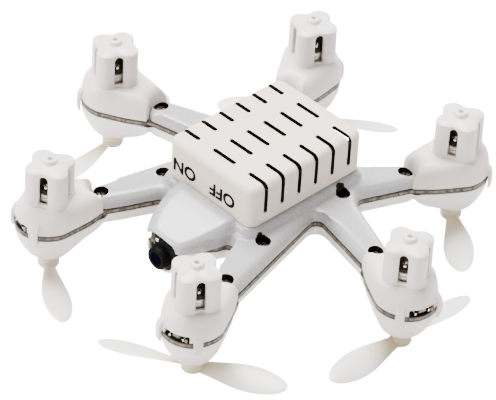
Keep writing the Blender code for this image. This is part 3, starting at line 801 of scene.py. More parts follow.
class Finish(Enum):
    """Every finish on the drone."""

    SHELL = MouldedPlastic("gloss_shell", (0.37, 0.355, 0.355), (0.35, 0.34, 0.345), 0.28,
                           coat=0.25, inside=0.05, grain=0.015)
    CUP = MouldedPlastic("cup_plastic", (0.86, 0.82, 0.79), (0.84, 0.80, 0.77), 0.36, coat=0.1,
                         inside=0.15)
    CAP = MouldedPlastic("cap_plastic", (0.76, 0.685, 0.64), (0.74, 0.67, 0.63), 0.38, coat=0.12,
                         inside=0.2)
    COVER = MouldedPlastic("cover_plastic", (0.72, 0.61, 0.52), (0.70, 0.60, 0.515), 0.5,
                           inside=0.1, grain=0.06)
    BLADE = BladePlastic("blade_plastic", (0.66, 0.53, 0.34), (0.86, 0.78, 0.68))
    BOARD = BoardLaminate("board_laminate")
    BLACK = MouldedPlastic("black_plastic", (0.003, 0.003, 0.003), (0.005, 0.005, 0.005), 0.42,
                           wear=0.05, dust=0.0, mirror=0.2)
    LENS = MouldedPlastic("lens_black", (0.002, 0.002, 0.002), (0.004, 0.004, 0.004), 0.38,
                          wear=0.0, dust=0.0, mirror=0.15)
    GLASS = MouldedPlastic("lens_front", (0.001, 0.001, 0.003), (0.002, 0.002, 0.005), 0.06,
                           grain=0.0, wear=0.0, dust=0.0, mirror=0.04)
    STEEL = Metal("motor_steel", (0.62, 0.58, 0.52), (0.50, 0.46, 0.40), 0.34, (1.0, 1.0, 0.1))
    SHAFT = Metal("shaft_steel", (0.70, 0.69, 0.67), (0.55, 0.54, 0.52), 0.22, (1.0, 1.0, 0.05))
    MOTOR = MouldedPlastic("motor_plastic", (0.036, 0.020, 0.007), (0.012, 0.007, 0.003), 0.45,
                           mirror=0.25)
    SOLDER = Metal("solder", (0.86, 0.85, 0.82), (0.70, 0.69, 0.66), 0.16)
    BRASS = Metal("screw_metal", (0.30, 0.27, 0.22), (0.16, 0.14, 0.11), 0.28)
    FOIL = Metal("cell_foil", (0.16, 0.125, 0.06), (0.09, 0.07, 0.035), 0.42, metallic=0.6)
    NYLON = MouldedPlastic("connector_nylon", (0.72, 0.69, 0.62), (0.68, 0.65, 0.58), 0.42)
    LIGHT = MouldedPlastic("light_lens", (0.16, 0.17, 0.09), (0.08, 0.09, 0.04), 0.12, coat=1.0)
    COPPER = Metal("bare_copper", (0.32, 0.19, 0.09), (0.22, 0.13, 0.06), 0.4)
    # Painted shade: a near-black brown put on hollow faces where only shade falls (screw seats, the room
    # under the cover and its slot flanks, the cap's bore).
    PAINTED_SHADE = MouldedPlastic("painted_shade", (0.014, 0.009, 0.006), (0.007, 0.005, 0.003), 0.7,
                            wear=0.0, dust=0.0, mirror=0.1)
    INK = MouldedPlastic("printed_ink", (0.004, 0.004, 0.004), (0.006, 0.006, 0.006), 0.6,
                         wear=0.0, dust=0.0, mirror=0.1)

    def material(self) -> bpy.types.Material:
        """The finish's material, made the first time it is asked for."""
        return bpy.data.materials.get("look_" + self.value.name) or self.value.build()


# ---------------------------------------------------------------- shells

def hood_ring(y: float, half: float, top: float, low: float) -> list[Point]:
    """Arched cross-section of the nose hood in the plane of one y."""
    side = low + 0.45 * (top - low)
    arch = [(-half, low), (-half, side), (-half + 0.35, side + 0.55 * (top - side)),
            (-half + 1.1, top - 0.35), (-half + 2.2, top)]
    return [(x, y, z) for x, z in arch] + [(-x, y, z) for x, z in reversed(arch)]


def trough(name: str, half: float, low: float, front: float, rear: float, rise: float) -> Thing:
    """Block with a round bottom and a flat top, from its rear to its front."""
    arc = [polar(half, 180.0 + 11.25 * k) for k in range(17)]
    outline = [(-half, rise)] + [(x, low + half + z) for x, z in arc] + [(half, rise)]
    return Bench.loft(name, [[(x, y, z) for x, z in outline] for y in (rear, front)])


@dataclass
class UpperShell:
    """Hub, arms, deck for the battery and nose hood, in one glossy moulding."""

    shoulder: float = 1.7
    sink: float = 1.2
    voxel: float = 0.33
    hood_front: float = -24.3
    hood_rear: float = -12.65
    hood_wall: float = 0.75
    stations: tuple[Point, ...] = ((-14.0, 8.2, 9.2), (-15.5, 8.0, 8.9), (-17.0, 7.7, 8.6), (-18.5, 7.3, 8.2),
                                 (-20.0, 6.8, 7.8), (-21.5, 6.15, 7.3), (-23.0, 5.3, 6.8))
    deck: tuple[tuple[float, ...], ...] = (
        (12.8, -13.7, 17.4, 5.0), (12.6, -13.4, 17.2, 7.4), (12.0, -12.9, 16.8, DECK_TOP + 0.1))

    def hood(self, name: str, shrink: float, low: float, rear: float) -> Thing:
        """The hood, or its hollow when it is shrunk."""
        ends = ((rear, 8.2 + (self.hood_rear - rear) * -0.2, 9.4),), \
            ((self.hood_front - shrink, 4.4, 6.3),)
        rings = [hood_ring(y, half - shrink, top - shrink, low)
                 for y, half, top in ends[0] + self.stations + ends[1]]
        return Bench.loft(name, rings)

    def build(self) -> Thing:
        """Model the shell and hang it on the airframe."""
        outline = frame_outline(PLAN.tongue_end)
        steps = [(0.0, UPPER_RIM - self.sink), (0.0, UPPER_RIM)]
        for k in range(1, 8):
            c, s = polar(1.0, 90.0 * k / 7.0)
            steps.append((self.shoulder * (1.0 - c), UPPER_RIM + (ARM_TOP - UPPER_RIM) * s))
        shell = Bench.loft("top_shell", [at_height(inset(outline, d), z) for d, z in steps])
        deck = Bench.loft("deck", [at_height(round_box(x, f, r, 2.5), z)
                                   for x, f, r, z in self.deck])
        hood = self.hood("hood", 0.0, UPPER_RIM - self.sink, self.hood_rear + 1.0)
        Bench.join([shell, deck, hood])
        Bench.melt(shell, self.voxel, 9)
        inner = [at_height(inset(outline, d), z) for d, z in (
            (WALL, UPPER_RIM - 2.0), (WALL, UPPER_RIM), (1.05, 5.0), (1.2, ARM_TOP - WALL))]
        hollow = Bench.loft("hollow", inner)
        Bench.combine(hollow, [Bench.turned("column", ((1.9, 1.0), (1.9, 7.0)), 24, seat)
                               for _name, seat in SEATS])
        tools = [hollow, Bench.block("slab", (-60.0, -60.0, -5.0), (60.0, 60.0, UPPER_RIM)),
                 Bench.loft("bay", [at_height(round_box(10.6, -11.4, 15.2, 1.5), z)
                                    for z in (2.0, 9.5)]),
                 self.hood("throat", self.hood_wall, 2.0, self.hood_rear - self.hood_wall),
                 Bench.block("step", (-9.5, self.hood_rear, DECK_TOP), (9.5, -9.0, 12.0)),
                 Bench.block("notch", (-3.2, 13.0, 3.0), (3.2, 20.0, 6.4))]
        tools += [Bench.turned("seat", ((0.7, 3.0), (0.7, SEAT_Z), (1.5, SEAT_Z), (1.5, ARM_TOP + 0.45)),
                               28, seat) for _name, seat in SEATS]
        Bench.combine(shell, tools)
        Bench.open_rim(shell, UPPER_RIM, -1.0)
        paint(shell, Finish.SHELL.material())
        # Painted shade: the screws' seats are darkened with the shade material.
        self.darken_seats(shell)
        return hand_over(shell, "airframe", ["upper_shell"])

    def darken_seats(self, shell: Thing) -> None:
        """Paint shade into the screws' seats: faces lying wholly within 1.51 mm of a seat's axis get the dark
        painted-shade material.
        """
        shell.data.materials.append(Finish.PAINTED_SHADE.material())
        verts = shell.data.vertices
        for face in shell.data.polygons:
            corners = [verts[i].co for i in face.vertices]
            if any(all(math.hypot(v.x - a, v.y - b) < 1.51 for v in corners)
                   for _name, (a, b) in SEATS):
                face.material_index = 1


@dataclass
class LowerShell:
    """Shallow tray under the hub and arms, a cup for each motor and the camera's cradle."""

    voxel: float = 0.37
    foot: float = 3.75
    foot_z: float = -3.5
    shaft_hole: float = 1.2
    skin: tuple[Flat, ...] = ((1.0, 4.0), (1.0, LOWER_RIM), (0.95, 1.6), (0.85, 0.6), (0.68, -0.6),
                              (0.48, -1.7), (0.28, -2.6), (0.12, -3.2), (0.0, -3.5))
    hollow: tuple[Flat, ...] = ((1.0, 4.5), (0.9, 1.6), (0.45, 0.0), (0.0, -1.2), (0.0, -2.6))

    def cup(self, name: str, pod: Pod, steps: Sequence[Flat], base: float, shrink: float) -> Thing:
        """Round cup under a motor.

        Args:
            name: the piece's name.
            pod: the pod that it belongs to.
            steps: (spread, z), where spread runs from the foot, 0, to the pod's outline, 1.
            base: radius of the foot.
            shrink: how far inside the pod's outline the rim is.

        Returns:
            The cup as a solid.
        """
        rings = []
        for spread, z in steps:
            ring = []
            for angle in PLAN.angles(7.5):
                rim = PLAN.radius(angle)
                if abs(angle) > 157.0:
                    rim = 10.4 / abs(math.cos(math.radians(angle)))
                reach = base + (rim - shrink - base) * spread
                ring.append((*pod.point(*polar(reach, angle)), z))
            rings.append(ring)
        return Bench.loft(name, rings)

    def build(self) -> Thing:
        """Model the shell and hang it on the airframe."""
        outline = frame_outline(PLAN.tongue_end)
        steps = [(0.0, LOWER_RIM + 1.2), (0.0, LOWER_RIM)]
        for k in range(1, 7):
            c, s = polar(1.0, 90.0 * k / 6.0)
            steps.append((1.25 * (1.0 - c), LOWER_RIM * (1.0 - s)))
        shell = Bench.loft("bottom_shell", [at_height(inset(outline, d), z) for d, z in steps])
        cups = [self.cup("cup", pod, self.skin, self.foot, 0.0) for pod in PODS]
        cradle = trough("cradle", 4.15, -2.4, -24.3, -17.3, LOWER_RIM + 1.0)
        Bench.join([shell, cradle] + cups)
        Bench.melt(shell, self.voxel, 7)
        inner = [at_height(inset(outline, d), z) for d, z in (
            (WALL, LOWER_RIM + 2.0), (WALL, LOWER_RIM), (1.05, 1.6), (1.2, WALL))]
        hollow = Bench.loft("hollow", inner)
        Bench.combine(hollow, [Bench.turned("boss", ((1.45, 0.0), (1.45, 6.0)), 20, seat)
                               for _name, seat in SEATS])
        bays = [self.cup("bay", pod, self.hollow, BORE_R, WALL) for pod in PODS]
        Bench.combine(shell, [Bench.block("slab", (-60.0, -60.0, LOWER_RIM), (60.0, 60.0, 9.0))])
        Bench.combine(shell, [hollow])
        Bench.combine(shell, bays + [
            Bench.turned("hole", ((self.shaft_hole, -1.0), (self.shaft_hole, -5.0)), 24,
                         pod.centre()) for pod in PODS])
        Bench.combine(shell, [trough("throat", 3.4, -1.7, -25.5, -18.6, LOWER_RIM + 1.0),
                              Bench.block("slot", (-2.2, -13.75, -1.0), (2.2, -12.25, 1.5))])
        Bench.open_rim(shell, LOWER_RIM, 1.0)
        paint(shell, Finish.CUP.material())
        return hand_over(shell, "airframe", ["lower_shell"])


@dataclass
class CircuitBoard:
    """The one board that runs through hub and arms and shows all round between the shells."""

    def build(self) -> Thing:
        """Model the board with its holes and hang it on the airframe."""
        board = Bench.prism("main_board", frame_outline(PLAN.board_end), BOARD_LOW, BOARD_HIGH)
        cuts = [Bench.turned("cut", ((0.8, 2.0), (0.8, 5.0)), 16, seat) for _name, seat in SEATS]
        cuts += [Bench.turned("cut", ((BORE_R + 0.1, 2.0), (BORE_R + 0.1, 5.0)), 40, pod.centre())
                 for pod in PODS]
        Bench.combine(board, cuts)
        paint(board, Finish.BOARD.material())
        return hand_over(board, "airframe", ["circuit_board"])


@dataclass
class BatteryCover:
    """Slotted box over the battery, open below and at the rear, with its switch marks."""

    half: float = 11.5
    front: float = -12.5
    rear: float = 17.0
    low: float = 8.5
    top: float = 17.25
    corner: float = 2.0
    edge: float = 1.4
    rows: int = 6
    first: float = -8.8
    pitch: float = 4.4
    width: float = 1.0
    middle: float = 3.05
    side: float = 6.65
    slot_low: float = 10.6
    marks: tuple[tuple[str, float], ...] = (("ON", -6.7), ("OFF", 3.6))
    mark_size: float = 3.9
    mark_weight: float = 0.15
    mark_z: float = 12.0

    def stadium(self, start: float, end: float, middle: float, ease: float = 0.0) -> list[Flat]:
        """Outline of a slot with round ends, as (along, across)."""
        half = self.width / 2.0 - ease
        right = [polar(half, t) for t in range(-90, 91, 18)]
        return ([(end - half + a, middle + b) for a, b in right]
                + [(start + half - a, middle - b) for a, b in right])

    def cut_slots(self, cover: Thing) -> None:
        """Cut the roof's slots, then run the outer ones down the two side walls."""
        middles = [self.first + self.pitch * row for row in range(self.rows)]
        spans = ((-self.middle, self.middle), (self.side, 14.0), (-14.0, -self.side))
        Bench.split(cover, [y - self.pitch / 2.0 for y in middles] + [middles[-1] + 2.2])
        Bench.combine(cover, [Bench.prism("slot", self.stadium(a, b, y), self.top - 1.6, 19.0)
                              for y in middles for a, b in spans])
        for y in middles:
            outline = self.stadium(self.slot_low, self.top - 1.2, y, 0.012)
            Bench.combine(cover, [Bench.loft("slot", [[(x, across, up) for up, across in outline]
                                                      for x in (-14.0, 14.0)])])

    def paint_cover_shade(self, cover: Thing) -> None:
        """Paint shade on the room inside the cover and on the flanks of its slots, with the dark
        painted-shade material.
        """
        cover.data.materials.append(Finish.PAINTED_SHADE.material())
        for face in cover.data.polygons:
            x, y, z = face.center
            within = (abs(x) < self.half - WALL + 0.02 and y > self.front + WALL - 0.02
                      and z < self.top - WALL + 0.02)
            row = round((y - self.first) / self.pitch)
            beside = abs(y - self.first - self.pitch * row) < self.width / 2.0 + 0.01
            if within or (beside and 0 <= row < self.rows and abs(face.normal.y) > 0.3):
                face.material_index = 1

    def mark(self, word: str, x: float) -> Thing:
        """A printed word on the front wall, turned to be read from above the cover."""
        bpy.ops.object.select_all(action="DESELECT")
        bpy.ops.object.text_add()
        text = bpy.context.object
        text.data.body = word
        text.data.size = self.mark_size
        text.data.align_x, text.data.align_y = "CENTER", "CENTER"
        text.data.extrude = 0.02
        text.data.bevel_depth, text.data.bevel_resolution = self.mark_weight, 0
        text.data.resolution_u = 6
        bpy.ops.object.convert(target="MESH")
        piece = bpy.context.object
        piece.name = "mark_" + word.lower()
        turn = Matrix(((-1.0, 0.0, 0.0, x), (0.0, 0.0, -0.15, self.front - 0.01),
                       (0.0, -1.0, 0.0, self.mark_z), (0.0, 0.0, 0.0, 1.0)))
        piece.data.transform(turn)
        Bench.edit(piece, lambda: bpy.ops.mesh.remove_doubles(threshold=0.001),
                   lambda: bpy.ops.mesh.normals_make_consistent(inside=False))
        paint(piece, Finish.INK.material())
        return hand_over(piece, "airframe", [])

    def build(self) -> Thing:
        """Model the cover and its marks."""
        outline = round_box(self.half, self.front, self.rear, self.corner)
        steps = [(0.0, self.low)]
        for k in range(7):
            c, s = polar(1.0, 15.0 * k)
            steps.append((self.edge * (1.0 - c), self.top - self.edge * (1.0 - s)))
        cover = Bench.loft("vented_cover", [at_height(inset(outline, d), z) for d, z in steps])
        room = round_box(self.half - WALL, self.front + WALL, self.rear + 5.0, 1.2)
        Bench.combine(cover, [Bench.prism("room", room, self.low - 1.0, self.top - WALL)])
        self.cut_slots(cover)
        paint(cover, Finish.COVER.material())
        self.paint_cover_shade(cover)
        for word, x in self.marks:
            self.mark(word, x)
        return hand_over(cover, "airframe", ["battery_cover"], 30.0)


# ---------------------------------------------------------------- motor pods

@dataclass
class MotorPod:
    """Cap, motor and light of a pod, modelled once about the motor's axis and copied."""

    lobe_shift: float = 2.9
    lobe_r: float = 2.05
    core_r: float = 3.62
    foot_z: float = 9.1
    motor_r: float = 3.0
    motor_low: float = -2.5
    motor_high: float = 11.5
    vent: float = 1.85
    vent_low: float = 9.7
    vent_high: float = 16.1
    lug_angle: float = 38.0
    lug_width: float = 1.7
    lug: tuple[Flat, ...] = ((4.9, 6.9), (5.9, 6.9), (6.95, 5.7), (7.3, 4.7), (7.3, 2.2),
                             (6.9, 1.4), (6.6, 1.5), (6.62, 4.3), (4.9, 4.8))

    def lobe(self, degrees: float) -> float:
        """Outline of the column, a core with four round lobes, at an angle from the heading."""
        turn = math.radians((degrees + 45.0) % 90.0 - 45.0)
        across = self.lobe_r ** 2 - (self.lobe_shift * math.sin(turn)) ** 2
        reach = self.lobe_shift * math.cos(turn) + math.sqrt(max(0.0, across))
        return (reach ** 14 + self.core_r ** 14) ** (1.0 / 14.0) if across > 0.0 else self.core_r

    def outside(self, degrees: float) -> list[Flat]:
        """Profile of the cap's skin at one angle, from the rim to near the middle of the top."""
        rim, lobe = PLAN.radius(degrees), self.lobe(degrees)
        foot = lobe * 1.05
        power = 2.1 + 0.8 * max(0.0, min(1.0, (abs(degrees) - 60.0) / 60.0))
        points = []
        for k in range(9):
            c, s = polar(1.0, 90.0 * k / 8.0)
            points.append((foot + (rim - foot) * abs(c) ** (2.0 / power),
                           UPPER_RIM + (self.foot_z - UPPER_RIM) * abs(s) ** (2.0 / power)))
        points += [(lobe * 1.022, self.foot_z + 0.25), (lobe * 1.012, 11.0), (lobe * 1.005, 13.5)]
        for k in range(6):
            c, s = polar(0.3, 3.0 + 13.0 * k)
            points.append((lobe - 0.3 + c, 16.35 + s))
        return points + [(lobe * share, CAP_TOP - 0.75 * max(0.0, share - 0.3) ** 1.2)
                         for share in (0.84, 0.72, 0.58, 0.44, 0.3)]

    def inside(self, degrees: float) -> list[Flat]:
        """Profile of the cap's hollow at one angle, from the rim to its ceiling."""
        rim = PLAN.radius(degrees) - WALL
        return [(rim, UPPER_RIM), (BORE_R + 0.5 * (rim - BORE_R), UPPER_RIM + 1.8),
                (BORE_R, 8.2), (BORE_R, 16.3)]

    def cap(self) -> Thing:
        """The cap with vent slots, a drilled boss, two hooked lugs and a light window."""
        angles = PLAN.angles(3.75)
        outside = [self.outside(a) for a in angles]
        inside = [self.inside(a) for a in angles]
        rings = [[(*polar(p[k][0], a), p[k][1]) for a, p in zip(angles, outside)]
                 for k in range(len(outside[0]) - 1, -1, -1)]
        rings += [[(*polar(p[k][0], a), p[k][1]) for a, p in zip(angles, inside)]
                  for k in range(len(inside[0]))]
        cap = Bench.loft("cap", rings)
        boss = Bench.turned("boss", ((1.6, CAP_TOP - 0.3), (1.45, CAP_TOP + 0.15),
                                     (1.3, BOSS_TOP - 0.3), (1.15, BOSS_TOP - 0.06),
                                     (0.95, BOSS_TOP)), 28)
        lugs = []
        for sign in (-1, 1):
            ux, uy = polar(1.0, sign * self.lug_angle)
            rows = [[(r * ux - w * uy, r * uy + w * ux, z) for r, z in self.lug]
                    for w in (-self.lug_width / 2.0, self.lug_width / 2.0)]
            lugs.append(Bench.bevel(Bench.loft("lug", rows), 0.18))
        Bench.combine(cap, [boss] + lugs, "UNION")
        tools = [Bench.block("window", (4.0, -2.7, 3.0), (9.0, 2.7, 5.6), 0.35),
                 Bench.turned("hole", ((0.45, 15.0), (0.45, 17.8), (0.6, 18.2)), 24)]
        half = self.vent / 2.0
        arch = [(half * math.cos(math.radians(t)), self.vent_high - half
                 + half * math.sin(math.radians(t))) for t in range(0, 181, 20)]
        profile = [(-half, self.vent_low), (half, self.vent_low)] + arch
        for turn in (45.0, 135.0, 225.0, 315.0):
            ux, uy = polar(1.0, turn)
            tools.append(Bench.loft("vent", [[(r * ux - w * uy, r * uy + w * ux, z)
                                              for w, z in profile] for r in (2.0, 7.0)]))
        Bench.combine(cap, tools)
        paint(cap, Finish.CAP.material())
        # Painted shade: the bore's wall inside the cap, seen through the vents, gets the dark shade material.
        cap.data.materials.append(Finish.PAINTED_SHADE.material())
        for face in cap.data.polygons:
            x, y, z = face.center
            r = math.hypot(x, y)
            if r < BORE_R + 0.06 and UPPER_RIM + 3.5 < z < 16.32:
                face.material_index = 1
        return cap

    def motor(self) -> tuple[Thing, Thing, Thing]:
        """Can with its rolled rim and bearing nose, plastic end with terminals, and shaft."""
        r, low, high = self.motor_r, self.motor_low, self.motor_high
        can = Bench.turned("can", (
            (0.5, -3.3), (0.9, -3.3), (1.0, -3.2), (1.0, low), (r - 0.3, low), (r, low + 0.3),
            (r, high - 0.9), (r - 0.12, high - 0.75), (r - 0.12, high - 0.55), (r, high - 0.4),
            (r, high - 0.15), (r - 0.15, high), (0.5, high)), 48, looped=True)
        paint(can, Finish.STEEL.material())
        end = Bench.turned("end", ((2.85, high + 0.1), (2.85, 12.2), (2.6, 12.5), (1.0, 12.5),
                                   (0.9, 12.65)), 40)
        paint(end, Finish.MOTOR.material())
        extras = []
        for sign in (-1.0, 1.0):
            tab = Bench.block("tab", (sign * 1.6 - 0.4, -0.55, 12.4), (sign * 1.6 + 0.4, 0.55, 12.9),
                              0.1)
            extras.append(paint(tab, Finish.COPPER.material()))
            bpy.ops.object.select_all(action="DESELECT")
            bpy.ops.mesh.primitive_uv_sphere_add(segments=20, ring_count=12, radius=0.55,
                                                 location=(sign * 2.15, 0.0, 12.75))
            blob = bpy.context.object
            blob.scale = (0.9, 1.0, 0.9)
            bpy.ops.object.transform_apply(location=True, rotation=True, scale=True)
            extras.append(paint(blob, Finish.SOLDER.material()))
        Bench.join([end] + extras)
        shaft = Bench.turned("shaft", ((0.3, -6.9), (0.4, -6.8), (0.4, 10.9), (0.3, 11.0)), 20)
        return can, end, paint(shaft, Finish.SHAFT.material())

    def light(self) -> Thing:
        """Surface light on the board's edge: black frame, clear middle and two bright ends."""
        body = paint(Bench.block("body", (4.9, -1.35, UPPER_RIM), (6.2, 1.35, 4.95), 0.12),
                     Finish.BLACK.material())
        lens = paint(Bench.block("lens", (5.1, -0.75, 4.5), (6.27, 0.75, 5.02), 0.12),
                     Finish.LIGHT.material())
        ends = [paint(Bench.block("pad", (4.95, y - 0.2, UPPER_RIM), (6.3, y + 0.2, 4.75), 0.08),
                      Finish.SOLDER.material()) for y in (-1.4, 1.4)]
        tag = paint(Bench.block("tag", (5.9, 1.75, UPPER_RIM), (6.3, 2.35, 4.9), 0.08),
                    Finish.COPPER.material())
        return Bench.join([body, lens, tag] + ends)

    def build(self) -> None:
        """Copy the pieces to all six pods."""
        cap, (can, end, shaft), light = self.cap(), self.motor(), self.light()
        for pod in PODS:
            at = pod.place(pod.heading)
            rows = (
                (cap, "cap_", at, "airframe", "cap_white", "motor_cap_"),
                (can, "can_", at, "airframe", "motor_steel", "motor_can_"),
                (end, "brush_end_", pod.place(pod.heading + pod.terminals), "airframe",
                 "motor_plastic", "motor_end_"),
                (shaft, "spindle_", pod.place(pod.rest), "propeller_" + pod.name, "motor_steel",
                 "motor_shaft_"),
                (light, "lamp_", at, "airframe", "light_chip", "light_"))
            for pattern, prefix, matrix, body, slot, node in rows:
                hand_over(Bench.copy(pattern, prefix + pod.name, matrix), body,
                          [node + pod.name])
        Bench.drop(cap, can, end, shaft, light)


@dataclass
class Propeller:
    """Two cambered, twisted blades on a stepped hub, one pattern for each turning sense."""

    tip: float = 18.45
    chord: float = 5.9
    root_chord: float = 2.4
    widest: float = 0.62
    height: float = -6.5
    hub_r: float = 2.1

    def chord_at(self, s: float) -> float:
        """Width of the blade at a share of its length."""
        if s > self.widest:
            return self.chord * math.sqrt(1.0 - ((s - self.widest) / (1.0 - self.widest)) ** 2)
        ease = s / self.widest
        return self.root_chord + (self.chord - self.root_chord) * ease * ease * (3.0 - 2.0 * ease)

    def blade(self, turn: float, sense: float) -> Thing:
        """One blade, from inside the hub to its round tip.

        Args:
            turn: 1 or -1, the side of the hub.
            sense: 1 or -1, the turning sense.

        Returns:
            The blade.
        """
        rings = []
        for s in (0.04, 0.1, 0.16, 0.24, 0.32, 0.4, 0.48, 0.56, 0.64, 0.72, 0.79, 0.85, 0.9,
                  0.94, 0.968, 0.986, 0.996):
            chord = self.chord_at(s)
            pitch = math.radians(26.0 - 14.0 * s) * sense
            ring = []
            for k in range(16):
                c, u = polar(1.0, 22.5 * k)
                across = 0.5 * c
                thick = (0.34 - 0.18 * s) * (0.75 + 0.25 * c * sense)
                y = across * chord
                z = u * thick + 0.06 * chord * (1.0 - 4.0 * across * across)
                y, z = (y * math.cos(pitch) - z * math.sin(pitch),
                        y * math.sin(pitch) + z * math.cos(pitch))
                ring.append((turn * s * self.tip, turn * y, self.height + z))
            rings.append(ring)
        return Bench.loft("blade", rings)

    def pattern(self, sense: float) -> Thing:
        """The whole propeller about its shaft."""
        hub = Bench.turned("hub", (
            (1.3, -4.0), (1.55, -4.1), (1.6, -4.9), (1.95, -5.2), (self.hub_r, -5.5),
            (self.hub_r, -6.9), (1.95, -7.2), (1.35, -7.35), (1.1, -7.5), (0.98, -7.8),
            (0.7, -7.97), (0.35, -8.0)), 36)
        Bench.combine(hub, [self.blade(1.0, sense), self.blade(-1.0, sense)], "UNION")
        Bench.combine(hub, [Bench.turned("hole", ((0.5, -3.0), (0.5, -7.0)), 20)])
        span = hub.data.attributes.new("span", "FLOAT", "POINT")
        for vert in hub.data.vertices:
            span.data[vert.index].value = math.hypot(vert.co.x, vert.co.y) / self.tip
        return paint(hub, Finish.BLADE.material())

    def build(self) -> None:
        """Copy the patterns to all six motors."""
        patterns = {sense: self.pattern(float(sense)) for sense in (1, -1)}
        for pod in PODS:
            piece = Bench.copy(patterns[pod.sense], "blades_" + pod.name, pod.place(pod.rest))
            hand_over(piece, "propeller_" + pod.name, ["propeller_" + pod.name],
                      50.0)
        Bench.drop(*patterns.values())


# ---------------------------------------------------------------- camera, battery, switch, screws

@dataclass
class NoseCamera:
    """Camera block with its board and chips, and the ribbed lens barrel."""

    half: float = 3.2
    front: float = -24.0
    back: float = -20.9
    lens_z: float = 1.3

    def barrel(self, name: str, profile: Sequence[Flat]) -> Thing:
        """Turn a profile of (radius, y) about the lens axis."""
        rings = [[(x, y, self.lens_z + z) for x, z in (polar(radius, 10.0 * k) for k in range(36))]
                 for radius, y in profile]
        return Bench.loft(name, rings)

    def build(self) -> None:
        """Model the block and the lens."""
        block = Bench.bevel(trough("camera_block", self.half, -1.5, self.front, self.back, 5.2), 0.2)
        parts = [paint(block, Finish.BLACK.material())]
        f = self.front
        for name, low, high, finish in (
                ("board", (-3.15, f - 0.12, 2.9), (-1.9, f + 0.5, 5.1), Finish.BOARD),
                ("chip", (-1.7, f - 0.3, 4.1), (-0.9, f + 0.2, 4.8), Finish.SOLDER),
                ("ledge", (-0.6, f - 0.25, 4.3), (2.6, f + 0.2, 5.0), Finish.BLACK),
                ("stud", (-2.8, f - 0.2, 3.3), (-2.3, f + 0.2, 3.8), Finish.COPPER)):
            parts.append(paint(Bench.block(name, low, high, 0.06), finish.material()))
        hand_over(Bench.join(parts), "airframe", ["camera_module"])
        barrel = paint(self.barrel("lens_barrel", (
            (2.3, f - 0.15), (2.3, f - 0.5), (2.15, f - 0.6), (2.15, f - 0.75), (2.3, f - 0.85),
            (2.3, f - 1.5), (2.2, f - 1.65), (2.05, f - 1.7), (1.55, f - 1.7), (1.45, f - 1.6),
            (1.3, f - 1.3))), Finish.LENS.material())
        glass = paint(self.barrel("glass", ((1.28, f - 1.25), (1.25, f - 1.38), (1.0, f - 1.5),
                                            (0.6, f - 1.6), (0.15, f - 1.63))),
                      Finish.GLASS.material())
        hand_over(Bench.join([barrel, glass]), "airframe", ["camera_lens"])


@dataclass
class PowerPack:
    """Flat cell in its bay, its socket and the flight controller on the board."""

    def build(self) -> None:
        """Model the cell with its folded seams, and the socket with its pins."""
        outline = round_box(10.0, -11.2, 14.8, 1.2)
        cell = Bench.loft("pouch_cell", [at_height(inset(outline, d), z) for d, z in (
            (1.0, 8.55), (0.45, 8.62), (0.12, 8.85), (0.0, 9.3), (0.0, 14.3), (0.12, 14.75),
            (0.45, 14.98), (1.0, 15.05))])
        paint(cell, Finish.FOIL.material())
        seams = [paint(Bench.block("seam", (sign * 9.75 - 0.25, -10.0, 9.4),
                                   (sign * 9.75 + 0.25, 13.4, 13.2), 0.1), Finish.FOIL.material())
                 for sign in (-1.0, 1.0)]
        tape = paint(Bench.block("tape", (-9.7, 12.9, 8.75), (9.7, 14.98, 14.8), 0.3),
                     Finish.COPPER.material())
        hand_over(Bench.join([cell, tape] + seams), "battery", ["battery"])
        socket = Bench.block("cell_socket", (-2.4, 13.6, UPPER_RIM), (2.4, 17.9, 6.2), 0.15)
        Bench.combine(socket, [Bench.block("mouth", (-1.8, 15.0, 4.75), (1.8, 19.0, 5.7))])
        paint(socket, Finish.NYLON.material())
        pins = [paint(Bench.block("pin", (x - 0.2, 14.6, 5.0), (x + 0.2, 17.3, 5.4), 0.06),
                      Finish.SOLDER.material()) for x in (-0.9, 0.9)]
        hand_over(Bench.join([socket] + pins), "airframe", ["battery_socket"])
        chip = Bench.block("controller", (-3.5, -3.5, UPPER_RIM), (3.5, 3.5, 5.2), 0.12)
        Bench.combine(chip, [Bench.turned("dot", ((0.35, 5.1), (0.35, 6.0)), 16, (-2.6, 2.6))])
        paint(chip, Finish.BLACK.material())
        hand_over(chip, "airframe", ["control_chip"])


@dataclass
class PowerSwitch:
    """Slide switch under the board, with its ridged knob in the belly's slot."""

    y: float = -13.0
    travel: float = 2.0

    def build(self) -> None:
        """Model the switch can and its knob."""
        y = self.y
        can = Bench.block("switch_can", (-3.4, y - 1.5, 1.05), (3.4, y + 1.5, LOWER_RIM), 0.15)
        Bench.combine(can, [Bench.block("groove", (-2.0, y - 0.45, 0.0), (2.0, y + 0.45, 2.1))])
        paint(can, Finish.STEEL.material())
        hand_over(can, "airframe", ["switch_body"])
        rest = self.travel / 2.0
        knob = Bench.block("slider", (rest - 0.8, y - 0.55, -0.8), (rest + 0.8, y + 0.55, 0.9), 0.1)
        stem = Bench.block("stem", (rest - 0.6, y - 0.3, 0.6), (rest + 0.6, y + 0.3, 1.9))
        Bench.combine(knob, [stem], "UNION")
        Bench.combine(knob, [Bench.block("groove", (rest + x - 0.08, y - 1.0, -1.0),
                                         (rest + x + 0.08, y + 1.0, -0.62))
                             for x in (-0.45, 0.0, 0.45)])
        paint(knob, Finish.BLACK.material())
        hand_over(knob, "switch_knob", ["switch_knob"])


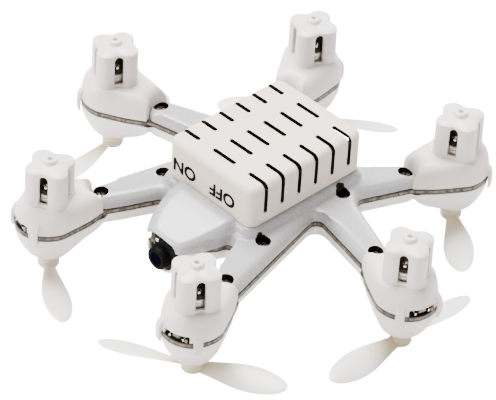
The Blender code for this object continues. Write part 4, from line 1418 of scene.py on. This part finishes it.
@dataclass
class Screws:
    """Ten pan-head screws with a cross recess, down in their seats."""

    head: float = 1.3
    shank: float = 0.5

    def build(self) -> None:
        """Model one screw and copy it to every seat."""
        z = SEAT_Z + 0.1
        screw = Bench.turned("screw", ((0.2, 1.1), (self.shank, 1.5), (self.shank, z),
                                       (self.head, z), (self.head, z + 0.3), (1.15, z + 0.55),
                                       (0.85, z + 0.75), (0.4, z + 0.85)), 32)
        Bench.combine(screw, [Bench.block("slot", (-0.85, -0.17, z + 0.35), (0.85, 0.17, 7.0)),
                              Bench.block("slot", (-0.17, -0.85, z + 0.35), (0.17, 0.85, 7.0))])
        paint(screw, Finish.BRASS.material())
        for name, (x, y) in SEATS:
            turn = 13.0 * x + 7.0 * y
            at = Matrix.Translation((x, y, 0.0)) @ Matrix.Rotation(math.radians(turn), 4, "Z")
            hand_over(Bench.copy(screw, "pan_screw_" + name, at), "airframe",
                      ["screw_" + name])
        Bench.drop(screw)


# ---------------------------------------------------------------- studio

@dataclass
class Studio:
    """Pale floor, soft light and the camera."""

    azimuth: float = 43.88
    elevation: float = 37.43
    roll: float = 3.45
    distance: float = 0.680
    lens: float = 261.6
    aim: tuple[float, float] = (-10.2 / 3604.0, -65.5 / 3604.0)
    target: Point = (0.0, 0.0, 0.018)
    floor_z: float = -0.008
    floor_size: float = 3.0
    lamps: tuple[tuple[str, Point, float, float], ...] = (
        ("top", (-0.30, 0.10, 0.95), 0.6, 46.0),
        ("left", (-0.60, -0.90, 0.40), 0.4, 20.0),
        ("right", (0.95, -0.1, 0.35), 0.5, 3.0),
        ("back", (-0.4, 0.9, 0.5), 0.5, 9.0))
    room: float = 0.22
    paper_glow: float = 18.0

    def stage(self) -> None:
        """Lay the floor and light it from all sides."""
        bpy.ops.object.select_all(action="DESELECT")
        bpy.ops.mesh.primitive_plane_add(size=self.floor_size, location=(0.0, 0.0, self.floor_z))
        floor = bpy.context.object
        floor.name = "floor"
        material, sheet, shader, where = opened("floor_paper")
        tint = sheet.blend(sheet.noise(where, 8.0, 2.0), (0.76, 0.75, 0.74, 1.0),
                           (0.78, 0.77, 0.76, 1.0))
        sheet.tree.links.new(tint, shader.inputs["Base Color"])
        shader.inputs["Roughness"].default_value = 0.9
        shader.inputs["Emission Color"].default_value = (1.0, 1.0, 1.0, 1.0)
        seen = sheet.add("ShaderNodeLightPath").outputs["Is Camera Ray"]
        sheet.tree.links.new(sheet.maths("MULTIPLY", seen, self.paper_glow),
                             shader.inputs["Emission Strength"])
        paint(floor, material)
        world = bpy.data.worlds.new("soft_room")
        world.use_nodes = True
        world.node_tree.nodes["Background"].inputs["Color"].default_value = (1.0, 1.0, 1.0, 1.0)
        world.node_tree.nodes["Background"].inputs["Strength"].default_value = self.room
        bpy.context.scene.world = world
        for name, place, size, power in self.lamps:
            light = bpy.data.lights.new(name, "AREA")
            light.size, light.energy = size, power
            lamp = bpy.data.objects.new(name, light)
            lamp.location = place
            lamp.rotation_mode = "QUATERNION"
            lamp.rotation_quaternion = (-Vector(place)).to_track_quat("-Z", "Y")
            bpy.context.scene.collection.objects.link(lamp)

    def camera(self) -> None:
        """Stand the camera at its distance, aimed a little past the middle of the drone."""
        a, e, roll = (math.radians(v) for v in (self.azimuth, self.elevation, self.roll))
        back = Vector((math.sin(a) * math.cos(e), -math.cos(a) * math.cos(e), math.sin(e)))
        right = (-back).cross(Vector((0.0, 0.0, 1.0))).normalized()
        up = right.cross(-back)
        right, up = (math.cos(roll) * right + math.sin(roll) * up,
                     math.cos(roll) * up - math.sin(roll) * right)
        look = (-back + self.aim[0] * right + self.aim[1] * up).normalized()
        side = look.cross(up).normalized()
        lift = side.cross(look)
        lens = bpy.data.cameras.new("camera")
        lens.lens, lens.sensor_width = self.lens, 36.0
        lens.clip_start, lens.clip_end = 0.05, 20.0
        camera = bpy.data.objects.new("camera", lens)
        spin = Matrix((side, lift, -look)).transposed().to_4x4()
        camera.matrix_world = Matrix.Translation(Vector(self.target) + back * self.distance) @ spin
        bpy.context.scene.collection.objects.link(camera)
        bpy.context.scene.camera = camera


def main() -> None:
    """Build every sub-assembly in order."""
    logging.basicConfig(level=logging.INFO, format="%(asctime)s %(message)s")
    for assembly in (UpperShell(), LowerShell(), CircuitBoard(), BatteryCover(), MotorPod(),
                     Propeller(), NoseCamera(), PowerPack(), PowerSwitch(), Screws()):
        assembly.build()
    studio = Studio()
    studio.stage()
    studio.camera()
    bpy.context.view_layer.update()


if __name__ == "__main__":
    main()
